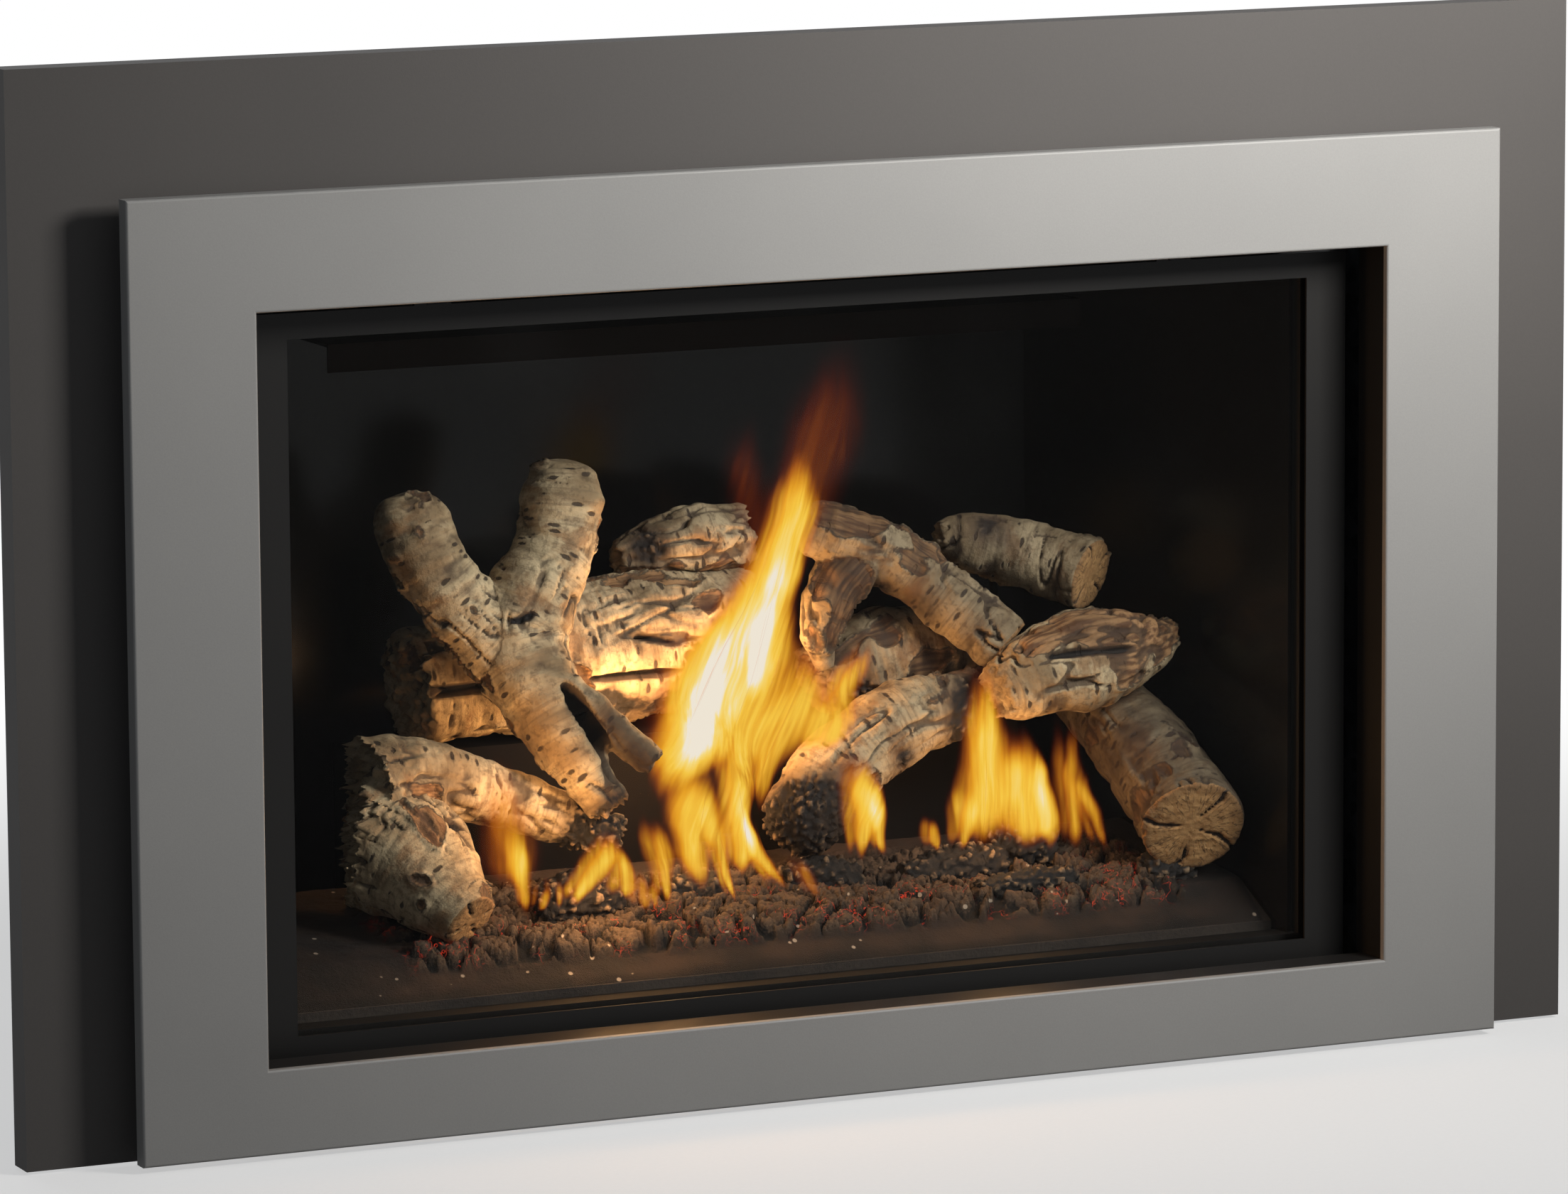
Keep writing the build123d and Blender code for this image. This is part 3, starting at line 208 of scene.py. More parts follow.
def rolled_steel(name, dark, light, rough, spangle_mm=9):
    """Zinc-coated sheet: faceted spangle, a few water stains and fine rolling scratches."""
    f = Finish(name)
    where = f.where()
    facet = f.channel(f.cells(where, 1 / (spangle_mm * MM), out="Color"))
    scratch = f.streaks(where, (60, 60, 1400))
    cloud = f.noise(where, 5, 4, 0.6)
    colour = f.mix((facet * 0.7 + scratch * 0.3).within(), dark, light)
    colour = f.mix(cloud.rise(0.55, 0.75) * 0.35, colour, (120, 110, 98))
    roughness = facet * 0.14 + cloud * 0.16 + (rough - 0.15)
    return f.skin(colour, roughness, scratch, SCRATCH, Metallic=0.85)


def drawn_metal(name, dark, light, rough, run=(1, 1, 1)):
    """Turned, drawn or brushed metal: fine lines across run, and tarnish in patches."""
    f = Finish(name)
    where = f.where()
    line = f.streaks(where, [900 * share for share in run], 3, 0.6)
    tarnish = f.noise(where, 45, 4, 0.6)
    colour = f.mix((line * 0.55 + tarnish * 0.45).rise(0.3, 0.7), dark, light)
    roughness = tarnish * 0.2 + line * 0.1 + (rough - 0.15)
    return f.skin(colour, roughness, line, SCRATCH, Metallic=1)


def moulded(name, colour, worn, rough, texture_mm):
    """Moulded plastic with a fine spark texture, paler where it is handled."""
    f = Finish(name)
    where = f.where()
    spark = f.noise(where, 1 / (texture_mm * MM))
    wear = f.noise(where, 60, 3)
    base = f.mix(wear.rise(0.5, 0.75) * 0.6, colour, worn)
    return f.skin(base, spark * 0.2 + (rough - 0.1), spark, 0.00005)


def fired_enamel(name):
    """Glossy black enamel, a little wavy, with paler specks of dust."""
    f = Finish(name)
    where = f.where()
    wave = f.noise(where, 11)
    speck = f.noise(where, 700)
    base = f.mix(speck.rise(0.5, 0.8), (8, 7, 7), (17, 15, 14))
    return f.skin(base, wave * 0.1 + 0.12, wave, 0.0008, Specular_IOR_Level=0.2)


def clear_ceramic_glass(name):
    """Ceramic fire glass: see-through, with the faint reflection of a coated pane."""
    f = Finish(name)
    film = f.noise(f.where(), 8, 3)
    fresnel = f.node("ShaderNodeFresnel", sockets={"IOR": 1.45})
    gloss = f.node("ShaderNodeBsdfGlossy", sockets={"Color": paint(255, 255, 255), "Roughness": 0.03})
    through = f.node("ShaderNodeBsdfTransparent", sockets=(paint(250, 250, 249),))
    share = fresnel * 0.1 + film.rise(0.5, 0.8) * 0.002
    return f.done(f.node("ShaderNodeMixShader", sockets=(share, through, gloss)))


def woven_fibre(name, dark, light):
    """Knitted fibreglass: crossed strands with loose fuzz."""
    f = Finish(name)
    where = f.where()
    strand = f.streaks(where, (900, 250, 900), 1)
    cross = f.streaks(where, (300, 900, 300), 1)
    share = (strand * 0.5 + cross * 0.5).rise(0.35, 0.65)
    return f.skin(f.mix(share, dark, light), 0.9, strand + cross, 0.0004)


def cast_ceramic(name, dark, light, pit_mm):
    """Vacuum-formed fibre ceramic: matt, pitted and smoked."""
    f = Finish(name)
    where = f.where()
    soot = f.noise(where, 16, 5, 0.6)
    pit = f.noise(where, 1 / (pit_mm * MM), 4, 0.6)
    base = f.mix((soot * 0.6 + pit * 0.4).rise(0.35, 0.65), dark, light)
    return f.skin(base, 0.85, pit, 0.0008)


# ---- the log and ember finishes ----
def birch_bark(name):
    """Painted birch: pale bark with dark dashes, peeled tan patches, char and ringed sawn ends."""
    f = Finish(name)
    bark, where = f.kept("bark_place", "Vector"), f.where()
    relief, char = f.kept("relief"), f.kept("char")
    fine = f.noise(where, 420, 4, 0.6)
    medium = f.noise(where, 95, 4, 0.6)

    cloud = f.streaks(bark, (26, 15, 15), 4, 0.6)
    colour = f.mix(cloud.rise(0.36, 0.62), (150, 128, 96), (222, 202, 164))
    band = f.streaks(bark, (420, 26, 26))
    colour = f.mix(band.rise(0.5, 0.72) * 0.45, colour, (112, 94, 73))
    ochre = f.streaks(bark, (34, 22, 22), 5, 0.65)
    colour = f.mix(ochre.rise(0.55, 0.66) * 0.7, colour, (146, 108, 70))
    stain = f.streaks(bark, (80, 55, 55), 5, 0.7)
    colour = f.mix(stain.rise(0.52, 0.7) * 0.6, colour, (98, 76, 55))
    mottle = f.noise(where, 210, 5, 0.7)
    colour = f.mix(mottle.rise(0.48, 0.66) * 0.5, colour, (92, 74, 55))

    dash_place = f.stretched(bark, (190, 70, 70))
    dash = f.cells(dash_place, 1)
    chosen = f.channel(f.cells(dash_place, 1, out="Color"))
    dash = (dash + fine * 0.3).rise(0.48, 0.34) * chosen.rise(0.56, 0.6)
    colour = f.mix(dash * 0.92, colour, (52, 40, 31))

    torn = f.kept("peel") + (fine - 0.5) * 0.18 + (medium - 0.5) * 0.22
    grain = f.streaks(bark, (30, 330, 330), 3)
    inner = f.mix(grain.rise(0.35, 0.65), (104, 72, 47), (180, 140, 98))
    colour = f.mix(torn.rise(0, 0.03), colour, inner)
    edge = abs(torn).rise(0.06, 0)
    colour = f.mix(edge * 0.85, colour, (52, 38, 29))

    # Darker where the relief is low: in the hollows, cracks and torn places of the bark and the sawn ends.
    darker_in_hollows = (relief + (medium - 0.5) * 0.5).rise(-0.1, -0.75)
    colour = f.mix(darker_in_hollows * 0.8, colour, (64, 49, 38))

    burnt = (char + (medium - 0.5) * 0.55 + (fine - 0.5) * 0.2).rise(0.38, 0.58)
    # The char is pale on its raised crumbs and black in its hollows: partly ash and char, partly painted
    # highlight and painted shade.
    ash_and_highlight = (relief * 0.6 + fine * 1.2 - 0.5).rise(0, 0.8)
    coal = f.mix(ash_and_highlight, (18, 14, 12), (142, 120, 94))
    smoke = (char + (cloud - 0.5) * 0.5).rise(0.02, 0.5)
    colour = f.mix(smoke * 0.72, colour, (78, 60, 46))
    colour = f.mix(burnt, colour, coal)
    # Darker per log and in the dark patches: partly smoke, partly painted shade on the logs and undersides
    # that lie in shadow.
    soot_and_shade = f.kept("soot") * ((cloud - 0.5) * 0.8 + (medium - 0.5) * 0.5 + 1)
    colour = f.mix(soot_and_shade.within(), colour, (46, 33, 25))

    sawn = f.kept("sawn")
    ring = f.kept("ring")
    wobble = f.noise(where, 60)
    rings = f.node("ShaderNodeMath", {"operation": "SINE"}, (ring * 34 + wobble * 14,))
    wood = f.mix(rings.rise(-0.2, 1) * 0.3, (198, 156, 104), (150, 110, 70))
    wood = f.mix(stain.rise(0.42, 0.66) * 0.5, wood, (134, 96, 58))
    checks = f.noise(f.kept("spoke_place", "Vector"), 1, 3, 0.6)
    wood = f.mix(abs(checks - 0.5).rise(0.03, 0) * ring.rise(0.1, 0.5) * 0.8, wood, (70, 50, 34))
    wood = f.mix(ring.rise(0.7, 1.02) * 0.6, wood, (108, 80, 54))
    wood = f.mix(fine.rise(0.62, 0.78) * 0.6, wood, (74, 54, 38))
    wood = f.mix(darker_in_hollows, wood, (54, 39, 28))
    colour = f.mix(sawn.rise(0.35, 0.65), colour, wood)

    height = fine * 0.5 + medium * 0.5 + band * 0.15 - dash * 0.5
    return f.skin(colour, 0.82, height, 0.0012)


def live_embers(name):
    """Burnt coal lumps: black in the cracks and pale on the crowns, partly as painted shade and painted
    highlight; ashy on the highest crowns, with painted shade towards the bed's ends and front, and a few
    thin glowing edges.
    """
    f = Finish(name)
    where = f.where()
    relief, heat, plain = f.kept("relief"), f.kept("glow"), f.kept("smooth_slope")
    fine = f.noise(where, 560, 4, 0.75)
    cloud = f.noise(where, 30, 3)
    # Black in the cracks and pale on the raised crowns: partly the coal's own colour, partly painted shade
    # and painted highlight.
    base = f.mix((relief + (fine - 0.5) * 1.5).rise(0.2, 1), (12, 10, 9), (98, 82, 67))
    base = f.mix(cloud.rise(0.5, 0.7) * relief.rise(0.2, 0.6) * 0.4, base, (64, 48, 38))
    slope = f.mix(cloud.rise(0.35, 0.65), (38, 32, 29), (58, 46, 39))
    base = f.mix(plain, base, slope)
    # Painted shade: the bed darkens towards its left and right ends and along its front edge.
    base = f.mix(f.kept("far").within() * 0.75, base, (16, 14, 13))
    ash = (relief + (fine - 0.5) * 2).rise(1.15, 1.4) * (1 - plain)
    base = f.mix(ash * 0.7, base, (150, 134, 116))
    spark = f.cells(where, 60).rise(0.11, 0.07)
    base = f.mix(spark * 0.8, base, (196, 182, 164))
    vein = abs(f.noise(where, 120, 3) - 0.5).rise(0.016, 0)
    glow = (heat * vein * relief.rise(0.95, 0.5)).within()
    light = f.mix(glow, (0, 0, 0), (226, 62, 34))
    return f.skin(base, 0.8, fine, 0.0012, Specular_IOR_Level=0.3, Emission_Color=light,
                  Emission_Strength=0.8)


FLAME_COLOURS = ((0, (96, 22, 10)), (0.1, (176, 62, 20)), (0.2, (238, 128, 28)), (0.34, (255, 176, 38)),
                 (0.55, (255, 206, 72)), (0.8, (255, 226, 132)), (1, (248, 238, 222)))


def gas_flame(name):
    """Flame: see-through, dark red where thinnest, then orange and golden, and white where thickest."""
    f = Finish(name)
    place = f.kept("flame_place", "Vector")
    strand = f.streaks(place, (190, 60, 14), 3, 0.6).rise(0.3, 0.72)
    cloud = f.streaks(place, (45, 30, 16))
    thick = f.kept("blaze") * (strand * 0.35 + cloud * 0.6 + 0.5)
    stops = [(position, paint(*colour)) for position, colour in FLAME_COLOURS]
    colour = f.node("ShaderNodeValToRGB", {"stops": stops}, (thick * 0.5,), "Color")
    shader = f.body(Base_Color=paint(0, 0, 0), Roughness=1, Specular_IOR_Level=0,
                    Emission_Color=colour, Emission_Strength=1, Alpha=thick.rise(0, 1.25))
    material = f.done(shader)
    material.cycles.emission_sampling = "NONE"
    return material


# Each finish: its name, how it is made and from what, and the nodes that wear it.
FINISH_TABLE = [
    ("pewter_face", sprayed, ((139, 139, 138), (165, 164, 162), 0.5, 0.42, 1.1, 0.1), "face_frame"),
    ("charcoal_surround", sprayed, ((76, 74, 73), (92, 89, 87), 0.55, 0.3, 1.4), "surround_panel"),
    ("black_trim", sprayed, ((26, 26, 26), (40, 39, 38), 0.36, 0.3),
     "face_collar door_frame valve_panel fan_panel speed_box"),
    ("fire_black", sprayed, ((10, 10, 10), (20, 19, 18), 0.7, 0.5),
     "firebox firebox_supports blower_housing"),
    ("sooted_steel", sprayed, ((7, 6, 6), (19, 15, 13), 0.8, 0.8, 3.0, 0.0, 0.1), "baffle_plate rear_ledge"),
    ("motor_grey", sprayed, ((74, 78, 84), (96, 100, 106), 0.42, 0.2), "blower_motor"),
    ("galvanised", rolled_steel, ((146, 149, 153), (190, 193, 197), 0.42),
     "casing_left casing_right casing_base casing_top casing_back"),
    ("aluminised", rolled_steel, ((150, 150, 148), (186, 185, 182), 0.38, 3.0),
     "exhaust_collar intake_collar"),
    ("zinc_plate", drawn_metal, ((158, 156, 148), (205, 202, 192), 0.35),
     "door_hinge_brackets latch_brackets glass_clips foot_front_left foot_front_right foot_rear_left "
     "foot_rear_right blower_wheel"),
    ("black_oxide", drawn_metal, ((24, 24, 25), (46, 46, 48), 0.45, (1, 0.1, 1)), "latch_left latch_right"),
    ("burner_stainless", drawn_metal, ((140, 128, 114), (184, 176, 164), 0.34, (0.05, 1, 1)),
     "burner_tube air_shutter pilot_bracket"),
    ("pipe_metal", drawn_metal, ((180, 182, 184), (214, 215, 217), 0.3, (0.1, 1, 1)), "manifold_pipe"),
    ("brass", drawn_metal, ((168, 132, 70), (214, 178, 106), 0.3, (1, 0.1, 0.1)), "gas_inlet"),
    ("valve_casting", drawn_metal, ((150, 152, 154), (186, 188, 190), 0.5), "gas_valve"),
    ("black_plastic", moulded, ((18, 18, 19), (44, 44, 45), 0.45, 0.7),
     "valve_knob flame_knob speed_dial rocker piezo_button power_inlet"),
    ("liner_enamel", fired_enamel, (), "liner_left liner_right liner_back"),
    ("clear_ceramic_glass", clear_ceramic_glass, (), "glass_pane"),
    ("gasket", woven_fibre, ((60, 58, 55), (120, 116, 108)), "door_gaskets"),
    ("pilot_ceramic", cast_ceramic, ((88, 80, 70), (122, 112, 99), 1.0), "pilot_electrodes"),
    ("bed_ceramic", cast_ceramic, ((32, 27, 24), (62, 54, 47), 2.5), "burner_base"),
    ("birch_bark", birch_bark, (), ""),
    ("live_embers", live_embers, (), ""),
    ("gas_flame", gas_flame, (), ""),
]
FINISHES = {name: make(name, *values) for name, make, values, _ in FINISH_TABLE}


def dress_solids():
    for finish, _, _, nodes in FINISH_TABLE:
        for node in nodes.split():
            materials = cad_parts[node].data.materials
            materials.clear()
            materials.append(FINISHES[finish])


# ---- numbers that vary in space ----
DIRECTIONS = np.random.default_rng(SEED).normal(size=(1024, 3))
DIRECTIONS /= norm(DIRECTIONS, axis=1)[:, None]
SCATTER = np.random.default_rng(SEED + 1).random((1024, 3))
# Further than any gap that is measured here, in metres or in cells.
FAR = 9.0


def pick(cell, seed):
    """A steady choice, 0 to 1023, for each whole-number cell."""
    x, y, z = (cell[..., i].astype(np.int64) for i in range(3))
    return (x * 73856093 ^ y * 19349663 ^ z * 83492791 ^ seed * 2654435761) >> 3 & 1023


def waves(points, seed):
    """Smooth noise from about -1 to 1 at each row of points."""
    cell = np.floor(points)
    inside = points - cell
    fade = inside ** 3 * (inside * (inside * 6 - 15) + 10)
    total = np.zeros(len(points))
    for corner in product((0, 1), repeat=3):
        corner = np.array(corner)
        share = np.where(corner, fade, 1 - fade).prod(axis=1)
        slope = DIRECTIONS[pick(cell + corner, seed)]
        total += share * (slope * (inside - corner)).sum(axis=1)
    return total * 1.7


def rough_waves(points, seed, layers):
    """Noise with finer and fainter layers on top."""
    return sum(waves(points * 2 ** i, seed + i) * 0.5 ** i for i in range(layers))


def lumps(points, seed, scatter=1.0):
    """How much further each point lies from the second nearest scattered centre than from the nearest, that
    centre's number and the way from it. With less scatter the centres keep to the middle of their cells."""
    cell = np.floor(points)
    nearest = np.full(len(points), FAR)
    after = np.full(len(points), FAR)
    owner = np.zeros(len(points), np.int64)
    away = np.zeros((len(points), 3))
    for step in product((-1, 0, 1), repeat=3):
        chosen = pick(cell + np.array(step), seed)
        off = points - cell - np.array(step) - 0.5 - scatter * (SCATTER[chosen] - 0.5)
        gap = norm(off, axis=1)
        closer = gap < nearest
        after = np.where(closer, nearest, np.minimum(after, gap))
        owner = np.where(closer, chosen, owner)
        away = np.where(closer[:, None], off, away)
        nearest = np.where(closer, gap, nearest)
    return after - nearest, owner, away


def layer(first, second, third):
    """Rows of two coordinates that vary and a third that doesn't."""
    return np.column_stack([first, second, np.full(len(first), float(third))])


def smooth(values, low, high):
    """0 below low and 1 above high, smooth between. It falls where low is the greater."""
    share = np.clip((values - low) / (high - low), 0, 1)
    return share * share * (3 - 2 * share)


# ---- making pieces ----
def linked(name, data):
    """A new object in the scene."""
    made = bpy.data.objects.new(name, data)
    bpy.context.scene.collection.objects.link(made)
    return made


def mesh_of(name, points, faces):
    mesh = bpy.data.meshes.new(name)
    mesh.from_pydata([tuple(p) for p in points], [], [tuple(f) for f in faces])
    return mesh


def on_casing(name, mesh, finish, smoothed=True):
    """A piece that stays with the casing."""
    if smoothed:
        mesh.shade_smooth()
    mesh.materials.clear()
    mesh.materials.append(FINISHES[finish])
    piece = linked(name, mesh)
    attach(piece, "casing")
    return piece


def keep_on(piece, **values):
    """Stores numbers, or vectors of three, by name on every point of a piece's mesh."""
    for name, each in values.items():
        kind, field = ("FLOAT_VECTOR", "vector") if each.ndim == 2 else ("FLOAT", "value")
        stored = piece.data.attributes.new(name, kind, "POINT")
        stored.data.foreach_set(field, each.astype(np.float32).ravel())


def grid_faces(number):
    """Faces between the neighbours in a grid of point numbers."""
    corners = (number[:-1, :-1], number[:-1, 1:], number[1:, 1:], number[1:, :-1])
    return np.stack(corners, axis=-1).reshape(-1, 4)


def tube_faces(start, rings, corners):
    """Faces of a closed tube of rings, whose points are numbered from start."""
    faces = []
    for a in range(start, start + (rings - 1) * corners, corners):
        for k in range(corners):
            b = a + (k + 1) % corners
            faces.append((a + k, b, b + corners, a + k + corners))
    faces.append(tuple(range(start + corners - 1, start - 1, -1)))
    top = start + (rings - 1) * corners
    faces.append(tuple(range(top, top + corners)))
    return faces


def points_of(mesh, field="co"):
    values = np.zeros(len(mesh.vertices) * 3, np.float32)
    mesh.vertices.foreach_get(field, values)
    return values.reshape(-1, 3).astype(float)


# ---- logs ----
VOXEL, RELIEF = 1.8 * MM, 2.3 * MM
RING = 40
BOTH_ENDS = ((0, 0), (0, -1))
# The big checks of a sawn end: the angle of each, its half width in radians and where it starts, as a share.
SPOKES = [(0.4, 0.10, 0.05), (2.3, 0.08, 0.2), (3.9, 0.09, 0.0), (5.2, 0.06, 0.4)]


class Limb:
    """A smooth round limb through (x, depth, z, radius) stations."""

    STEPS = 7

    def __init__(self, stations):
        knots = np.array([(*spot(x, d, z), r * MM) for x, d, z, r in stations])
        knots = np.vstack([2 * knots[0] - knots[1], knots, 2 * knots[-1] - knots[-2]])
        line = []
        for a, b, c, d in zip(knots, knots[1:], knots[2:], knots[3:]):
            for t in np.arange(self.STEPS) / self.STEPS:
                bend = 2 * a - 5 * b + 4 * c - d + t * (3 * b - a - 3 * c + d)
                line.append(b + 0.5 * t * (c - a + t * bend))
        line.append(knots[-2])
        line = np.array(line)
        self.centre = line[:, :3]
        self.radius = np.maximum(line[:, 3], MM)
        ahead = np.gradient(self.centre, axis=0)
        self.along = ahead / norm(ahead, axis=1)[:, None]
        self.reach = np.append(0, norm(np.diff(self.centre, axis=0), axis=1).cumsum())
        self.side = self.steady_sides()
        self.up = np.cross(self.along, self.side)

    def steady_sides(self):
        """A direction across the limb at each step that doesn't twist along it."""
        side = np.cross(self.along[0], (0.3, 1.0, 0.2))
        sides = []
        for along in self.along:
            side = side - along * (side @ along)
            side = side / norm(side)
            sides.append(side)
        return np.array(sides)

    def shell(self):
        """The limb's points, ring after ring."""
        turn = np.linspace(0, 2 * math.pi, RING, endpoint=False)[None, :, None]
        ring = np.cos(turn) * self.side[:, None] + np.sin(turn) * self.up[:, None]
        return (self.centre[:, None] + ring * self.radius[:, None, None]).reshape(-1, 3)

    def outward(self, end):
        """The direction out of one end, 0 or -1."""
        return self.along[end] * (1 if end else -1)


def joined_limbs(name, limbs):
    """One skin round all the limbs of a log, as a fresh fine mesh."""
    points, faces = np.zeros((0, 3)), []
    for limb in limbs:
        faces += tube_faces(len(points), len(limb.centre), RING)
        points = np.vstack([points, limb.shell()])
    blank = linked(name + "_limbs", mesh_of(name + "_limbs", points, faces))
    remesh = blank.modifiers.new("skin", "REMESH")
    remesh.mode = "VOXEL"
    remesh.voxel_size = VOXEL
    even = blank.modifiers.new("even", "SMOOTH")
    even.iterations = 3
    shown = blank.evaluated_get(bpy.context.evaluated_depsgraph_get())
    mesh = bpy.data.meshes.new_from_object(shown)
    bpy.data.objects.remove(blank)
    mesh.name = name
    return mesh


def unbent(points, limbs):
    """For each point: its place along and across its limb, and that limb's radius there."""
    best = np.full(len(points), FAR)
    place = np.zeros((len(points), 3))
    radius = np.zeros(len(points))
    for number, limb in enumerate(limbs):
        gap = norm(points[:, None] - limb.centre[None], axis=2)
        at = gap.argmin(axis=1)
        off = points - limb.centre[at]
        ahead = (off * limb.along[at]).sum(axis=1)
        across = np.stack([(off * limb.side[at]).sum(axis=1), (off * limb.up[at]).sum(axis=1)], axis=1)
        miss = abs(norm(off, axis=1) - limb.radius[at])
        mine = miss < best
        best = np.where(mine, miss, best)
        here = np.column_stack([limb.reach[at] + ahead + 0.37 * number, across])
        place = np.where(mine[:, None], here, place)
        radius = np.where(mine, limb.radius[at], radius)
    return place, radius


def near(points, spots):
    """The sum of soft round patches, each an (x, depth, z, reach, amount)."""
    total = np.zeros(len(points))
    for x, depth, z, reach, amount in spots:
        gap = norm(points - np.array(spot(x, depth, z)), axis=1)
        total += amount * np.exp(-(gap / (reach * MM)) ** 2)
    return total


def gap_to_line(points, start, end):
    """How far points lie from the straight run between two (x, depth, z) places, and the share along it."""
    a, b = np.array(spot(*start)), np.array(spot(*end))
    share = np.clip((points - a) @ (b - a) / ((b - a) @ (b - a)), 0, 1)
    return norm(points - a - share[:, None] * (b - a), axis=1), share


def bark_height(points, place, char, peel, shred, cracks, seed):
    """How far the bark stands out or is cut in, as a share of RELIEF: ripples, curled edges of what has
    peeled, open cracks along and across, torn strips where it is shredded and crumbs where it is burnt."""
    gone = smooth(peel, 0.0, 0.08)
    curl = np.exp(-((peel + 0.03) / 0.05) ** 2)
    ripple = rough_waves(place * (75, 30, 30), seed + 20, 3)

    run = rough_waves(place * (11, 42, 42), seed + 30, 2)
    open_here = smooth(waves(place * (14, 20, 20), seed + 40), 0.12, 0.4)
    fissure = smooth(abs(run), 0.07, 0) * open_here * cracks
    check = smooth(abs(rough_waves(place * (38, 13, 13), seed + 50, 2)), 0.05, 0)
    check = check * smooth(waves(place * (18, 18, 18), seed + 60), 0.2, 0.5) * cracks

    strip = smooth(abs(rough_waves(place * (24, 88, 88), seed + 95, 2)), 0.04, 0.3)
    warp = rough_waves(points / 0.01, seed + 70, 2)[:, None] * 0.3
    crumble = smooth(lumps(points / 0.0062 + warp, seed)[0], 0.0, 0.35)
    crumble = crumble * (0.75 + 0.5 * waves(points / 0.009, seed + 71))
    burnt = smooth(char + waves(points / 0.016, seed + 80) * 0.3, 0.35, 0.6)

    height = ripple * 0.7 - gone * 0.6 + curl * 0.8 * (1 - gone) - fissure * 1.5 - check * 1.0
    height = height * (1 - shred) + shred * (strip * 2.2 - 1.5 + ripple * 0.4)
    return height * (1 - burnt) + burnt * (crumble * 1.9 - 1.2)


def sawn_end(points, limb, end, seed):
    """Where a sawn end is, each point's share of the way out on it, its place for the fine checks across
    the grain, and how deep the end is cut by grain and checks."""
    off = points - limb.centre[end]
    beyond = off @ limb.outward(end)
    flat = off - beyond[:, None] * limb.outward(end)
    share = norm(flat, axis=1) / limb.radius[end]
    on_end = smooth(beyond, -1.1 * VOXEL, -0.3 * VOXEL) * (share < 1.15)
    angle = np.arctan2(flat @ limb.up[end], flat @ limb.side[end])
    turned = np.column_stack([np.cos(angle) * 5.5, np.sin(angle) * 5.5, share * 1.6 + seed])
    bent = angle + waves(points / 0.02, seed + 5) * 0.35
    spokes = np.zeros(len(points))
    for at, wide, inner in SPOKES:
        aside = abs(np.angle(np.exp(1j * (bent - at))))
        spokes += smooth(aside, wide, 0) * smooth(share, inner, inner + 0.2)
    return on_end, share, turned, waves(points / 0.0035, seed + 6) * 0.25 - 1.6 * np.clip(spokes, 0, 1)


def make_log(name, limbs, seed, sawn=(), torn=BOTH_ENDS, charred=(), peeled=(), splits=(), flaked=(),
             shade_and_stain=(), bare=0.0, cracks=1.0, soot=0.0, stands_for=None, slot="birch_ceramic"):
    """Skins the limbs, then carves bark, peeled patches, cracks, char and ends into the mesh.

    sawn and torn list limb ends as (limb, 0 or -1). charred, peeled, flaked and the dark patches are soft
    patches; the dark patches are painted shade on undersides and where a log lies in shadow, with some
    weathering. A split is (start, end, half width, depth). bare raises or lowers how much bark is gone,
    cracks how open they are, and soot how dark it all is: partly smoke, partly painted shade on the logs
    that lie deeper in shade.
    """
    limbs = [Limb(stations) for stations in limbs]
    mesh = joined_limbs(name, limbs)
    points = points_of(mesh)
    out = points_of(mesh, "normal")
    place, radius = unbent(points, limbs)
    swell = rough_waves(points / 0.055, seed, 2) * radius * 0.10

    char = near(points, charred)
    peel = rough_waves(place * (17, 25, 25), seed + 10, 3) - 0.55 + bare + near(points, peeled) - char * 0.2
    shred = np.clip(near(points, flaked), 0, 1)
    height = bark_height(points, place, char, peel, shred, cracks, seed)

    cut = np.zeros(len(points))
    ring = np.zeros(len(points))
    spoke = np.zeros((len(points), 3))
    for number, end in sawn:
        on_end, share, turned, cuts = sawn_end(points, limbs[number], end, seed)
        cut = np.maximum(cut, on_end)
        ring = np.where(on_end > 0, share, ring)
        spoke = np.where(on_end[:, None] > 0, turned, spoke)
        height = height * (1 - on_end) + on_end * cuts
        swell = swell * (1 - on_end)
    for start, finish, wide, deep in splits:
        gap, share = gap_to_line(points, start, finish)
        taper = np.minimum(1, 4 * np.minimum(share + 0.12, 1.02 - share))
        slit = smooth(gap, wide * MM * taper + 2.5 * MM, wide * MM * taper * 0.5)
        height = height - slit * deep
        char = np.maximum(char, slit * 0.8)

    moved = points + out * (swell + height * RELIEF)[:, None]
    for number, end in torn:
        limb = limbs[number]
        off = points - limb.centre[end]
        close = norm(off, axis=1) < limb.radius[end] * 1.5
        on_end = smooth(off @ limb.outward(end), -4 * MM, 0.5 * MM) * close
        splinter = rough_waves(place * (20, 190, 190), seed + 90, 3)
        moved += limb.outward(end) * (on_end * splinter * 4.5 * MM)[:, None]
        height = height + on_end * (splinter * 0.8 + 0.2)

    mesh.vertices.foreach_set("co", moved.astype(np.float32).ravel())
    log = on_casing(name + "_bark", mesh, "birch_bark")
    # soot and the dark patches darken the bark: partly smoke and weathering, partly painted shade.
    keep_on(log, bark_place=place, relief=height, char=char, peel=peel, sawn=cut, ring=ring,
            spoke_place=spoke, soot=soot + near(points, shade_and_stain))
    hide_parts(stands_for or name)
